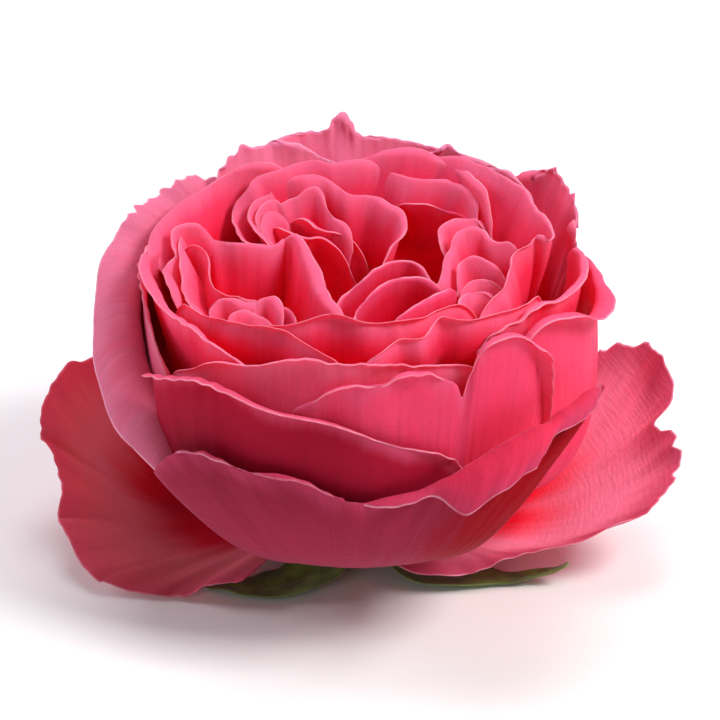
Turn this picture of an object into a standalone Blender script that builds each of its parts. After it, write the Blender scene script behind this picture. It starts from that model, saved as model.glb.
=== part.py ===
"""A full garden rose bloom, cut off flush under its hip, in metres with +Z up.

Every petal is one thin sheet that fans out from a narrow claw on the hip and
follows a shared cup outline up to its own waved, partly rolled margin.  The
outer petals are nested by sinking each one a little further inside the cup.
The crowded inner petals stand out of a small core and are fused with it.
"""
from dataclasses import dataclass

import bmesh
import bpy
import numpy as np

MM = 0.001

# Driving sizes, in millimetres
SHEET = 0.62                # thickness of a petal
BLADE = 0.9                 # thickness of a sepal
PITCH = 1.1                 # rise from one claw to the next in the stack
HIP_SEAT = 5.5              # radius of the flat cut that the bloom stands on
LEAST_HEM = 0.15            # narrowest strip of a rolled margin
SEPAL_DISH = 0.12           # lift of a sepal's edges, as a share of its half-width
SETTLE = (0.1, 0.5)         # shares of a petal's length between which it leaves the stack of claws
# The cup's outline as radius and height, from the claws out to the rim
CUP = ((6, 11), (14, 10), (22, 9.8), (29, 11.2), (35.5, 14.6), (40, 19.4),
       (42.8, 26), (43.8, 34.5), (43.8, 44), (43.3, 54), (42.5, 66))
# The flatter outline of the two spread guard petals
GUARD = ((6, 9.2), (12, 7.8), (20, 6.2), (28, 6), (36, 7.8), (43, 11.6),
         (50, 17.5), (56, 24), (62, 30))

ROUGHNESS = 0.6
PINK = (0.78, 0.07, 0.13, 1)
DUSK = (0.55, 0.05, 0.12, 1)
GREEN = (0.10, 0.13, 0.03, 1)


def spline(knots, share):
    """A smooth curve through the knots, which are spaced by their distances."""
    knots = np.asarray(knots, float)
    if knots.ndim == 1:
        knots = knots[:, None]
        gaps = np.ones(len(knots) - 1)
    else:
        gaps = np.maximum(np.linalg.norm(np.diff(knots[:, :3], axis=0), axis=1), 1e-6) ** 0.8
    at = np.concatenate([[0], np.cumsum(gaps)])
    at /= at[-1]
    step = np.diff(at)
    rate = np.diff(knots, axis=0) / step[:, None]
    slope = np.empty_like(knots)
    slope[0], slope[-1] = rate[0], rate[-1]
    if len(knots) > 2:
        slope[1:-1] = ((rate[:-1] * step[1:, None] + rate[1:] * step[:-1, None])
                       / (step[1:] + step[:-1])[:, None])
    i = np.clip(np.searchsorted(at, share, side="right") - 1, 0, len(knots) - 2)
    width = step[i][:, None]
    t = ((share - at[i]) / step[i])[:, None]
    return ((2 * t**3 - 3 * t**2 + 1) * knots[i] + (t**3 - 2 * t**2 + t) * slope[i] * width
            + (3 * t**2 - 2 * t**3) * knots[i + 1] + (t**3 - t**2) * slope[i + 1] * width)


def along_edge(value, share):
    """One number for the whole edge, or several spread evenly along it."""
    value = np.atleast_1d(np.asarray(value, float))
    return np.full(len(share), value[0]) if len(value) == 1 else spline(value, share)[:, 0]


def ease(x, low, high):
    t = np.clip((x - low) / (high - low), 0, 1)
    return t * t * (3 - 2 * t)


class Outline:
    """A radius and height curve that sheets follow from their claws at a depth inside it."""

    def __init__(self, knots, start, lift, steep):
        self.start = start      # length along the curve at which the claws begin
        self.lift = lift        # how late a sheet rises to its rim's own height
        self.steep = steep      # whether a rim is found by its height or by its radius
        self.curve = spline(knots, np.linspace(0, 1, 601))
        run = np.diff(self.curve, axis=0)
        self.length = np.concatenate([[0], np.cumsum(np.linalg.norm(run, axis=1))])
        ahead = np.gradient(self.curve, axis=0)
        ahead /= np.linalg.norm(ahead, axis=1, keepdims=True)
        self.inward = np.stack([-ahead[:, 1], ahead[:, 0]], 1)

    def at(self, length, sink):
        """Radius and height at a length along the curve, sunk inwards."""
        r, z, nr, nz = (np.interp(length, self.length, v) for v in
                        (*self.curve.T, *self.inward.T))
        return r + nr * sink, z + nz * sink

    def up_to(self, r, z):
        """Length along the curve up to a rim of this radius and height."""
        if not self.steep:
            return np.interp(r, self.curve[:, 0], self.length)
        rising = len(self.curve) // 4
        return np.interp(z, self.curve[rising:, 1], self.length[rising:])


OUTLINES = {"cup": Outline(CUP, start=1, lift=1.5, steep=True),
            "guard": Outline(GUARD, start=1.5, lift=3, steep=False)}


@dataclass
class Petal:
    """An outer petal; its rim is (azimuth, radius, height, depth inside the outline)."""
    name: str
    rim: tuple
    claw: float             # azimuth of the claw
    reach: float = 24       # half-angle of the claw
    fan: float = 0.75       # how late the sheet spreads from its claw to its full width
    level: float = 1        # place in the stack of claws
    late: float = 3         # how late the sheet leaves the outline for its rim
    roll: tuple = (0,)      # width of the rolled margin
    curl: float = 100       # angle that the margin rolls through
    wave: float = 0.3
    waves: float = 3
    outline: str = "cup"
    across: int = 12
    up: int = 6
    hem: int = 1
    colour: tuple = PINK

    def surface(self):
        s = np.linspace(0, 1, self.across + 1)
        t = np.linspace(0, 1, self.up + 1)[:, None]
        rim = np.array(self.rim, float)
        turn = np.radians(rim[:, 0])
        place = np.stack([rim[:, 1] * np.cos(turn), rim[:, 1] * np.sin(turn), rim[:, 2]], 1)
        knots = spline(np.hstack([place, rim[:, [0, 1, 3]]]), s)
        z, azimuth, r, sink = knots[:, 2], knots[:, 3], knots[:, 4], knots[:, 5]
        wall = OUTLINES[self.outline]
        full = wall.up_to(r, z)
        side = np.sign(azimuth[-1] - azimuth[0])
        fan = self.claw + side * self.reach * (2 * s - 1)
        fan = fan + (azimuth - fan) * t ** self.fan
        depth = self.level * PITCH + (sink - self.level * PITCH) * ease(t, *SETTLE)
        radius, height = wall.at(wall.start + (full - wall.start) * t, depth)
        end_r, end_z = wall.at(full, sink)
        radius = radius + (r - end_r) * t ** self.late
        height = height + (z - end_z) * t ** wall.lift
        turn = np.radians(fan)
        sheet = np.stack([radius * np.cos(turn), radius * np.sin(turn), height], -1)
        out = np.stack([np.cos(turn[-1]), np.sin(turn[-1]), 0 * turn[-1]], -1)
        return waved(hemmed(sheet, out, s, self.roll, self.curl, self.hem), s, self.wave, self.waves)


@dataclass
class Inner:
    """A petal of the crowded middle; rim in x, y, z, foot drawn towards a point below."""
    rim: tuple
    centre: tuple = (0, 2)
    draw: float = 0.62      # the foot's share of the rim's distance from the centre
    foot: float = 34
    lean: float = 5         # angle of the sheet below its rim
    belly: float = 0.12     # how far the sheet swells outwards above its foot
    across: int = 6
    up: int = 3

    def surface(self):
        s = np.linspace(0, 1, self.across + 1)
        t = np.linspace(0, 1, self.up + 1)[:, None, None]
        rim = spline(self.rim, s)
        hub = np.array([*self.centre, 0.0])
        foot = hub + (rim - hub) * self.draw
        foot[:, 2] = self.foot
        out = rim - hub
        out[:, 2] = 0
        out /= np.linalg.norm(out, axis=1, keepdims=True)
        # each column is a cubic curve, so a third of its rise makes an even handle
        rise = np.linalg.norm(rim - foot, axis=1, keepdims=True)
        lean = np.radians(self.lean)
        upright = np.array([0, 0, 1.0])
        low = foot + rise * (self.belly * out + upright / 3)
        high = rim - rise / 3 * (np.sin(lean) * out + np.cos(lean) * upright)
        return ((1 - t) ** 3 * foot + 3 * (1 - t) ** 2 * t * low
                + 3 * (1 - t) * t ** 2 * high + t ** 3 * rim)


def hemmed(sheet, out, s, roll, curl, rows):
    """Adds the margin that rolls outwards past the rim."""
    width = along_edge(roll, s)
    if not rows or width.max() <= 0:
        return sheet
    ahead = sheet[-1] - sheet[-2]
    ahead /= np.linalg.norm(ahead, axis=1, keepdims=True)
    beside = np.gradient(sheet[-1], axis=0)
    over = np.cross(beside, ahead)
    over /= np.linalg.norm(over, axis=1, keepdims=True)
    over *= np.sign((over * out).sum(1, keepdims=True) + 1e-9)
    edge, strip = sheet[-1], []
    for k in range(rows):
        # most of the bend comes first, then the margin hangs
        a = np.radians(curl) * (1 - (1 - (k + 0.5) / rows) ** 2)
        step = np.maximum(width, LEAST_HEM)[:, None] / rows
        edge = edge + step * (np.cos(a) * ahead + np.sin(a) * over)
        strip.append(edge)
    return np.concatenate([sheet, np.stack(strip)])


def normals(sheet):
    n = np.cross(np.gradient(sheet, axis=1), np.gradient(sheet, axis=0))
    return n / np.maximum(np.linalg.norm(n, axis=2, keepdims=True), 1e-9)


def waved(sheet, s, wave, waves):
    """Ruffles that grow towards the margin."""
    step = np.linalg.norm(np.diff(sheet, axis=0), axis=2)
    way = np.concatenate([np.zeros((1, len(s))), np.cumsum(step, axis=0)])
    way /= way[-1]
    x = 2 * np.pi * s[None, :]
    # three sines of lengths that don't match, so that no two ruffles are alike
    ripple = (np.sin(waves * x) + 0.5 * np.sin(1.7 * waves * x + 1)
              + 0.3 * np.sin(0.6 * waves * x + 0.7))
    return sheet + normals(sheet) * (wave * way**3 * ripple)[:, :, None]


def material(name, colour):
    mat = bpy.data.materials.get(name) or bpy.data.materials.new(name)
    mat.use_nodes = True
    shader = mat.node_tree.nodes["Principled BSDF"]
    shader.inputs["Base Color"].default_value = colour
    shader.inputs["Roughness"].default_value = ROUGHNESS
    return mat


def add_object(name, mesh, mat):
    mesh.materials.append(mat)
    mesh.shade_smooth()
    obj = bpy.data.objects.new(name, mesh)
    bpy.context.scene.collection.objects.link(obj)
    return obj


def thick_sheet(name, sheet, thickness, mat):
    """A closed sheet, thickened to both sides of its middle surface."""
    rows, cols = sheet.shape[:2]
    faces = []
    for i in range(rows - 1):
        for j in range(cols - 1):
            a, b, c, d = i * cols + j, i * cols + j + 1, (i + 1) * cols + j + 1, (i + 1) * cols + j
            # the shorter diagonal keeps the waves smooth, and both faces get the same one
            short = (np.linalg.norm(sheet[i, j] - sheet[i + 1, j + 1])
                     <= np.linalg.norm(sheet[i, j + 1] - sheet[i + 1, j]))
            faces += [(a, b, c), (a, c, d)] if short else [(a, b, d), (b, c, d)]
    mesh = bpy.data.meshes.new(name)
    mesh.from_pydata((sheet.reshape(-1, 3) * MM).tolist(), [], faces)
    obj = add_object(name, mesh, mat)
    skin = obj.modifiers.new("thickness", "SOLIDIFY")
    skin.thickness = thickness * MM
    skin.offset = 0
    return obj


def turned(name, profile, mat, sides=24):
    """A solid of revolution from (radius, height) pairs; both ends lie on the axis."""
    bm = bmesh.new()
    verts = [bm.verts.new((r * MM, 0, z * MM)) for r, z in profile]
    edges = [bm.edges.new(pair) for pair in zip(verts, verts[1:])]
    bmesh.ops.spin(bm, geom=verts + edges, cent=(0, 0, 0), axis=(0, 0, 1),
                   angle=2 * np.pi, steps=sides, use_merge=True)
    bmesh.ops.remove_doubles(bm, verts=bm.verts, dist=1e-6)
    bmesh.ops.recalc_face_normals(bm, faces=bm.faces)
    mesh = bpy.data.meshes.new(name)
    bm.to_mesh(mesh)
    bm.free()
    return add_object(name, mesh, mat)


def fuse(base, pieces):
    """Joins the pieces with the base by one union and removes them."""
    group = bpy.data.collections.new(base.name + "_pieces")
    bpy.context.scene.collection.children.link(group)
    for piece in pieces:
        bpy.context.scene.collection.objects.unlink(piece)
        group.objects.link(piece)
    step = base.modifiers.new("fuse", "BOOLEAN")
    step.operation, step.operand_type, step.solver = "UNION", "COLLECTION", "MANIFOLD"
    step.collection = group
    joined = base.evaluated_get(bpy.context.evaluated_depsgraph_get())
    bm = bmesh.new()
    bm.from_mesh(joined.to_mesh())
    keep_outer_shell(bm)
    base.modifiers.clear()
    bm.to_mesh(base.data)
    bm.free()
    base.data.shade_smooth()
    base.data.set_sharp_from_angle(angle=np.radians(50))
    for piece in pieces:
        bpy.data.objects.remove(piece)
    bpy.data.collections.remove(group)


def keep_outer_shell(bm):
    """Fills hollows that the union sealed and drops loose scraps: one shell stays."""
    shells, seen = [], set()
    for start in bm.faces:
        if start in seen:
            continue
        shell, front = [], [start]
        seen.add(start)
        while front:
            face = front.pop()
            shell.append(face)
            for edge in face.edges:
                for other in edge.link_faces:
                    if other not in seen:
                        seen.add(other)
                        front.append(other)
        shells.append(shell)
    shells.sort(key=len)
    for shell in shells[:-1]:
        bmesh.ops.delete(bm, geom=shell, context="FACES")


PETALS = [
    Petal("guard_petal_left", fan=0.7, claw=188, reach=30, level=0, outline="guard", wave=0.25, waves=4,
          across=15, rim=(
        (149, 48, 23, 0), (154.5, 52, 25.5, 0), (159, 55, 26.5, 0), (166, 56, 25.5, 0),
        (171, 57.2, 22, 0), (175, 56.5, 18, 0), (180.5, 53, 15, 0), (184, 52.5, 12.5, 0),
        (187, 53.5, 10, 0), (193, 52, 7, 0), (198.5, 50.5, 4, 0), (203, 47, 2, 0), (208.5, 42, 1.1, 0),
        (214, 37, 1.6, 0), (220, 33, 3, 0), (227, 29, 4.5, 0))),
    Petal("guard_petal_right", fan=0.7, claw=-15, reach=32, level=0, outline="guard", wave=0.25,
          waves=4, across=17, rim=(
        (-69, 19, 6, 0), (-60, 22, 5, 0), (-52, 24.5, 4.5, 0), (-43, 27.5, 4.5, 0), (-36, 31.5, 6.2, 0),
        (-28, 37, 9, 0), (-21, 45.6, 11, 0), (-14.5, 52.8, 14, 0), (-10, 55.3, 17, 0),
        (-5.5, 56.8, 20, 0), (-1, 56.6, 22, 0), (3.5, 53, 22, 0), (7, 55.4, 25, 0), (12, 57.4, 28, 0),
        (18, 56.2, 30, 0), (21, 52.5, 30, 0), (23, 47.5, 29, 0))),
    Petal("front_low_petal", claw=-88, reach=26, fan=1.9, level=1, curl=170, wave=0.2, across=16,
          colour=DUSK, roll=(0, 0.5, 0.5, 0.5, 1.5, 4, 8, 9, 5), hem=3, rim=(
        (-141, 44, 30, 1), (-133, 44, 36.5, 1), (-127, 43.5, 37.5, 1.2), (-114, 43, 36.5, 1.2),
        (-102, 42.6, 36, 1.2), (-92, 42.6, 33, 1.2), (-80, 42.6, 33, 1.2), (-68, 42.6, 36, 1.2),
        (-57, 43, 39, 1.2), (-44, 44.5, 41.5, 1.2), (-34, 45.5, 42.5, 1), (-26, 46.5, 41, 1))),
    Petal("back_tip_petal", claw=88, level=1, roll=(0.5,), curl=60, across=16, rim=(
        (57, 43.2, 49, 1.2), (61, 43.4, 54, 1.2), (66, 43.4, 57, 1.2), (76, 43.5, 59, 1.2),
        (84, 43.5, 59.5, 1.2), (90, 43.5, 60, 1.2), (94, 44.5, 63, 1.2), (97.5, 43.6, 61, 1.2),
        (104, 43.5, 61, 1.2), (112, 43.3, 59.5, 1.2), (120, 43.3, 55, 1.2), (125, 43.3, 48, 1.2))),
    Petal("left_cup_petal", claw=174, reach=26, level=2, late=5, curl=120, waves=4, across=16,
          roll=(0, 0, 0, 1.5, 3.5, 4, 3), hem=2, rim=(
        (118, 40.9, 53, 3.4), (123, 41.2, 55.5, 3), (128.5, 43, 56.5, 2.4), (135, 45, 56.5, 2),
        (144, 45.5, 56.5, 2), (151, 44.5, 53, 2), (159, 43.8, 50.5, 2), (169, 43.6, 49, 2),
        (180, 43.6, 47, 2), (191, 43.2, 43, 2), (200, 42.8, 38, 2.2), (209, 42.4, 33, 2.4),
        (218, 42.4, 28, 2.6))),
    Petal("front_mid_petal", claw=-106, level=3, curl=120, wave=0.15, roll=(1.5, 2, 2, 1.5),
          colour=DUSK, rim=(
        (-147, 41, 45.5, 3.2), (-138, 40.7, 48, 3.4), (-130, 40.6, 48.7, 3.4), (-116, 40.5, 48.5, 3.4),
        (-103, 40.5, 46.5, 3.4), (-92, 40.5, 45, 3.4), (-80, 40.5, 42, 3.4), (-70, 40.5, 38.5, 3.4),
        (-61, 40.4, 34, 3.4))),
    Petal("front_right_petal", claw=-72, level=4, curl=120, wave=0.15, roll=(0.4, 1, 1, 0.4, 2, 3, 2),
          across=16, rim=(
        (-106, 38.4, 47, 5.1), (-100, 38.4, 49.5, 5.1), (-93, 38.5, 52, 5.1), (-84, 38.7, 53, 5.1),
        (-72, 38.7, 53.5, 5.1), (-66, 38.6, 51.5, 5.1), (-63, 38.5, 48, 5.1), (-60.5, 39, 52, 5.1),
        (-58, 39.5, 57, 5), (-50, 40, 58, 4.6), (-43, 40.2, 54, 4.2), (-39, 40, 46, 4), (-38, 40, 36, 4))),
    Petal("left_inner_petal", claw=176, reach=22, level=4, wave=0.2, roll=(0.6, 1, 1, 0.6), rim=(
        (139, 39.5, 51, 4.8), (147, 39.5, 53.5, 4.8), (156, 39.2, 53.5, 4.8), (168, 39, 54.5, 4.8),
        (180, 39, 55, 4.8), (192, 39, 55.5, 4.8), (202, 39.2, 52.5, 4.8), (211, 39.4, 47, 4.9),
        (215, 39.3, 41, 5))),
    Petal("right_cup_petal", claw=-10, level=5, curl=110, roll=(1.5, 2.5, 4, 4.5, 2, 1, 0.5), across=15,
          hem=2, rim=(
        (-48, 37, 50, 6.4), (-43, 37.6, 54, 6), (-36, 38.3, 56, 5.4), (-28, 39.3, 54.5, 4.2),
        (-20, 40, 51.5, 3), (-10, 41, 49, 2), (0, 41.7, 48, 1.5), (10, 42.4, 48, 1),
        (18, 43.4, 48.5, 0.8), (24, 44, 46, 0.6), (28, 44.2, 40, 0.6))),
    Petal("back_left_petal", claw=112, reach=20, level=5, roll=(0.5,), curl=60, rim=(
        (92, 38.2, 55, 5.8), (99, 38.2, 58, 5.8), (107, 39.2, 60.5, 5.2), (112, 39.8, 61.5, 4.8),
        (117, 39.8, 61, 4.8), (121, 39.8, 61.7, 4.8), (126, 39.6, 60, 4.8), (130, 39.4, 57, 4.8),
        (134, 39.2, 51, 5))),
    Petal("back_right_petal", claw=40, reach=20, level=6, roll=(0.5,), curl=60, wave=0.4, waves=4, rim=(
        (19, 40.8, 44, 3.4), (23, 42, 50, 3.2), (26, 43.2, 54, 3), (32, 44.8, 56.5, 2.6),
        (39, 45.3, 59, 2.6), (46, 45, 57, 2.8), (52, 43.8, 55.5, 3), (58, 41.6, 54, 3.4),
        (63, 40.8, 49, 3.7))),
    Petal("front_inner_petal", claw=-98, reach=22, level=6, wave=0.2, roll=(0.5, 1, 1, 0.5), across=13,
          rim=(
        (-152, 36.8, 41, 7), (-147, 36.8, 45, 7), (-138, 36.8, 48, 7), (-131, 36.6, 50.5, 7),
        (-118, 36.2, 53, 7), (-106, 36, 54.7, 7), (-94, 36, 55.3, 7), (-80, 36, 54.5, 7),
        (-66, 36, 53.2, 7), (-57, 36, 51, 7), (-51, 36.2, 46, 7))),
    Petal("back_inner_petal", claw=66, reach=20, level=7, roll=(0.5,), curl=60, waves=4, across=13,
          rim=(
        (31, 37, 54, 6.8), (37, 38.2, 57, 6.2), (46, 39.5, 59, 5.8), (55, 40, 59, 5.6),
        (61, 39.8, 59.5, 5.7), (66, 40, 61, 5.6), (72, 39.8, 58.5, 5.8), (80, 38.6, 57.5, 6.4),
        (90, 36.6, 58, 7.6), (100, 35.2, 56.5, 8.6))),
    Petal("right_inner_petal", claw=-14, reach=20, level=7, roll=(0.5, 1.5, 2, 1.5, 0.5), rim=(
        (-54, 33.8, 53, 9.4), (-47, 34.8, 56, 8.6), (-38, 35.8, 57, 7.6), (-28, 36.8, 57, 6.6),
        (-16, 38, 56, 5.6), (-6, 38.5, 55, 4.8), (4, 39, 54.5, 4.4), (12, 39, 54, 4.4),
        (17, 38.8, 51, 4.6))),
    Petal("left_small_petal", claw=200, reach=20, level=7, wave=0.2, roll=(0.5, 1.2, 1.2, 0.6), rim=(
        (160, 35, 49, 8.6), (166, 35.4, 53, 8.6), (174, 35.6, 55, 8.6), (184, 35.8, 56, 8.6),
        (196, 35.6, 55.5, 8.6), (208, 35, 54.5, 8.8), (220, 34.6, 53.5, 8.8), (232, 34.5, 52.4, 8.8),
        (242, 34.4, 49, 8.8))),
]

# The small solid under the inner petals: a neck on the hip, then a low dome
CORE = ((0, 10.6), (6.6, 10.6), (7.4, 19), (10, 20.8), (20, 22.4), (25, 26.5), (26, 31), (23, 35),
        (14, 37.5), (0, 38.5))

# Inner petals, from the back round the left to the front, then the right and the middle
INNER = [
    Inner(across=9, rim=(
        (-18.5, 27.5, 56), (-18, 29.5, 57.3), (-15.5, 30.5, 58), (-10.5, 33, 59), (-7.5, 33.5, 59.5),
        (-1.5, 33, 58.5), (3.5, 33, 58), (7.5, 31.5, 57.5), (12, 30.5, 57), (16.5, 30, 56.5),
        (19.5, 27.5, 56), (21, 24, 55))),
    Inner(rim=(
        (7, 33.5, 59.5), (11.5, 33.5, 60), (15, 33, 59), (17.5, 31, 58.5), (20, 28, 57.5),
        (22.5, 25, 56), (23.5, 22.5, 52), (24, 20.5, 49.5))),
    Inner(across=9, centre=(-4, 18), rim=(
        (-14.5, 29, 54), (-14.5, 30.5, 56), (-10, 30.5, 57), (-6.5, 30.5, 57), (-4, 29, 56.5),
        (-1.5, 27.5, 56), (2.5, 26, 55.5), (5, 24.5, 54.5), (7.5, 22, 54), (8, 19.5, 52.5),
        (6, 18, 51.5), (4, 15, 50), (4, 12.5, 49))),
    Inner(centre=(-8, 16), across=4, rim=(
        (-14, 25.5, 52.5), (-11.5, 27, 54.5), (-8, 28, 56.5), (-4, 26.5, 55))),
    Inner(centre=(-4, 32), draw=0.8, rim=(
        (-14, 25.5, 52.5), (-10, 24.5, 52), (-6.5, 22.5, 51.5), (-2, 22, 50.5), (0.5, 19.5, 49.5),
        (0, 17.5, 49))),
    Inner(centre=(-6, 30), draw=0.8, rim=(
        (-17.5, 23, 52), (-14, 21.5, 52.5), (-10, 20, 51.5), (-6.5, 20, 50.5), (-4.5, 18.5, 50),
        (-4, 13, 49))),
    Inner(centre=(-8, 20), rim=(
        (-19, 28, 56), (-21.5, 26, 54.5), (-22, 24, 53.5), (-21.5, 21.5, 52.5), (-18.5, 16.5, 51),
        (-16.5, 16.5, 50.5))),
    Inner(centre=(-8, 20), across=4, rim=(
        (-16.5, 27.5, 56), (-19, 24, 54.5), (-18, 19.5, 52.5), (-14.5, 16, 51))),
    Inner(centre=(-8, 20), across=4, rim=(
        (-14.5, 26, 55.5), (-17, 23.5, 54.5), (-17.5, 20, 52.5), (-16, 18, 51.5))),
    Inner(centre=(-20, 6), rim=(
        (-27, 14.5, 55), (-26, 12.5, 54.3), (-21, 11.5, 53.5), (-15, 11, 53), (-12.5, 12.5, 54.5))),
    Inner(centre=(-20, 2), rim=(
        (-13.5, 11, 53.5), (-11, 13.5, 55), (-9, 7.5, 53.5), (-7, 1, 51.5), (-2.5, -7.5, 49.5),
        (-1.5, -9, 49))),
    Inner(rim=(
        (-29.5, 4, 54), (-29, 7.5, 55.5), (-26.5, 3, 54.5), (-23.5, -4.5, 52.5), (-17, -6, 51.5))),
    Inner(rim=(
        (-30.5, 13, 55.5), (-30.2, 6, 55.3), (-29.5, -2, 54.5), (-28, -10.5, 53.5), (-26, -14.5, 52.5),
        (-24, -13.5, 52))),
    Inner(across=8, rim=(
        (-27, 12.5, 56), (-30.5, 12, 56.5), (-31.5, 8, 56), (-30.5, 4, 55), (-32, -1, 54.5),
        (-31, -7, 53.7), (-28.5, -13.5, 52.5))),
    Inner(centre=(-20, -18), across=5, rim=(
        (-24.5, -13.5, 52), (-24.5, -9, 53), (-21, -8.5, 52.5), (-17.5, -12, 51.5))),
    Inner(centre=(-15, -18), across=4, rim=(
        (-17.5, -12, 51.5), (-16.5, -9.5, 53), (-13.5, -12, 53), (-12.5, -15, 51))),
    Inner(lean=0, rim=(
        (-28.5, -15.5, 54.5), (-25, -19, 54.5), (-19.5, -21.5, 55), (-14, -24.5, 55),
        (-8.5, -28.5, 54.5), (-6, -30, 54))),
    Inner(across=8, rim=(
        (-12.5, -26, 56), (-8, -25.5, 57), (-3.5, -25.5, 57.5), (4.5, -26, 57), (10.5, -24.5, 57),
        (13, -22, 57.5), (18, -21, 57), (19, -22.5, 56))),
    Inner(across=8, lean=0, rim=(
        (4, -33.5, 56), (7, -31.5, 56.5), (10.5, -31.5, 57), (14, -27, 58), (20.5, -25.5, 58),
        (24, -24, 57.5), (27.5, -20.5, 57), (30, -16.5, 56.5))),
    Inner(across=14, rim=(
        (21, 29.5, 60), (25.5, 27.5, 59.5), (29.5, 23.5, 58.5), (31.5, 17.5, 57), (33, 14, 57),
        (34, 10, 56), (31, 9.5, 56), (28, 5, 55.5), (26.5, -1.5, 55.5), (24.5, -11.5, 56),
        (21, -19.5, 56), (19, -22, 56))),
    Inner(centre=(24, 14), rim=(
        (21.5, 24.5, 54.5), (18.5, 20, 53.5), (15, 17, 53), (15, 15, 52.5), (16.5, 10, 51))),
    Inner(centre=(24, 4), across=9, rim=(
        (12.5, 2, 48.5), (15, 2, 49.5), (16.5, 7, 52), (18, 12.5, 54), (20.5, 14.5, 55), (23, 12, 54),
        (27.5, 10, 55), (29.5, 8, 56))),
    Inner(centre=(24, -2), across=4, rim=(
        (18, 4, 51.5), (18.5, 6.5, 52.5), (21.5, 6, 53.5), (26.5, 3.5, 53))),
    Inner(centre=(24, -8), across=4, rim=(
        (18.5, -1.5, 51), (21.5, 0, 52.5), (26, 0, 53.5))),
    Inner(centre=(24, -14), across=4, rim=(
        (18.5, -14.5, 53), (18.5, -9.5, 53), (21, -6, 53.5), (24.5, -6.5, 54.5))),
    Inner(centre=(6, -10), rim=(
        (-3, -0.5, 48.5), (1.5, 4.5, 50.5), (6.5, 7.5, 52), (9.5, 8, 52), (11.5, 5, 51))),
    Inner(centre=(6, -14), rim=(
        (-0.5, -12, 50.5), (3, -4.5, 52), (9, -1, 53), (13, -2, 52.5), (15, -3, 52))),
    Inner(centre=(7, -16), across=4, rim=(
        (2.5, -15, 52), (6, -8, 53), (10.5, -5.5, 53.5), (11.5, -6, 53))),
    Inner(centre=(-2, 24), draw=0.8, across=3, rim=(
        (-5.5, 11, 49), (-3, 13, 50), (1, 13.5, 49))),
    Inner(centre=(10, 14), draw=0.8, across=3, rim=(
        (4, 16.5, 50.5), (3, 13.5, 50), (1, 7.5, 48.5))),
    Inner(centre=(10, 30), draw=0.8, across=4, rim=(
        (9.5, 15.5, 47.5), (12, 18, 48.5), (16, 18.5, 49), (19, 22, 50))),
    Inner(centre=(6, 30), draw=0.8, across=4, rim=(
        (5, 19.5, 48), (8, 20, 49), (11.5, 22, 49.5), (15, 25, 50))),
    Inner(centre=(-12, -4), across=4, rim=(
        (-15, 6.5, 51), (-12.5, 8.5, 51.5), (-9.5, 5.5, 50.5), (-7.5, 0, 49))),
    Inner(centre=(-22, -6), across=4, rim=(
        (-26, 4.5, 53), (-24.5, 7.5, 53.5), (-20, 6.5, 52.5), (-17, 2.5, 51))),
    Inner(centre=(-20, -12), across=4, rim=(
        (-23.5, -1.5, 51.5), (-21, 0.5, 52), (-17, -1.5, 51), (-14, -6, 49.5))),
    Inner(centre=(4, -26), across=4, rim=(
        (-2, -20, 53), (3, -16.5, 54), (9, -15.5, 54), (14, -17.5, 53.5))),
]

# The flat cut, the swollen hip and the shoulder that the claws stand on
HIP = ((0, 0), (HIP_SEAT, 0), (7, 2.2), (7.6, 4.6), (7.2, 6.6), (7.1, 9.4), (6.4, 10.3), (0, 10.3))

# Sepals: middle line from the hip to the tip, and half-widths along it
SEPALS = [
    (((-2.2, -4.8, 6), (-5, -11, 3.6), (-11, -16, 1.2), (-19, -17.3, 0.75), (-24, -16.8, 0.8),
      (-28, -15.5, 1)),
     (2.6, 4.6, 5.2, 4, 2.4, 0.7)),
    (((2.6, -4.8, 6), (7, -10.5, 3.6), (14, -14, 1.2), (22, -13.8, 0.8), (29, -14.5, 1),
      (34.5, -15.2, 3), (37, -15.8, 4.6)),
     (2.6, 4, 4.4, 3.6, 2.2, 1.2, 0.6)),
    (((5, 1.8, 6), (12, 4, 3.6), (19, 6, 1.2), (26, 8.5, 0.8), (31, 10, 1.8)),
     (2.6, 4.4, 4.4, 2.8, 0.7)),
    (((0, 5.2, 6), (0.5, 12, 3.6), (1, 19, 1.2), (1, 26, 0.8), (1.5, 32, 2.4)),
     (2.6, 4.4, 4.6, 3, 0.7)),
    (((-5, 2.2, 6), (-11.5, 5, 3.6), (-18, 7.5, 1.2), (-25, 10, 0.8), (-30, 12, 1.6)),
     (2.6, 4.4, 4.4, 2.8, 0.7)),
]


def sepal_sheet(line, widths, along=8, across=3):
    s = np.linspace(0, 1, along + 1)
    middle = spline(line, s)
    half = along_edge(widths, s)[:, None]
    ahead = np.gradient(middle, axis=0)
    beside = np.cross(ahead, (0, 0, 1))
    beside /= np.linalg.norm(beside, axis=1, keepdims=True)
    u = np.linspace(-1, 1, across + 1)
    sheet = middle[:, None] + half[:, :, None] * u[None, :, None] * beside[:, None]
    # the blade's edges lift a little above its middle
    sheet[:, :, 2] += SEPAL_DISH * half * u[None, :] ** 2
    return sheet


def build():
    for old in list(bpy.data.objects):
        bpy.data.objects.remove(old)
    bloom = bpy.data.objects.new("rose", None)
    bpy.context.scene.collection.objects.link(bloom)
    for petal in PETALS:
        sheet = thick_sheet(petal.name, petal.surface(), SHEET, material(petal.name, petal.colour))
        sheet.parent = bloom

    rose = turned("rosette", CORE, material("rosette", PINK), sides=28)
    fuse(rose, [thick_sheet(f"inner_{i}", inner.surface(), SHEET, rose.data.materials[0])
                for i, inner in enumerate(INNER)])
    rose.parent = bloom

    calyx = turned("calyx", HIP, material("calyx", GREEN))
    fuse(calyx, [thick_sheet(f"sepal_{i}", sepal_sheet(*s), BLADE, calyx.data.materials[0])
                 for i, s in enumerate(SEPALS)])
    calyx.parent = bloom


build()
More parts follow.
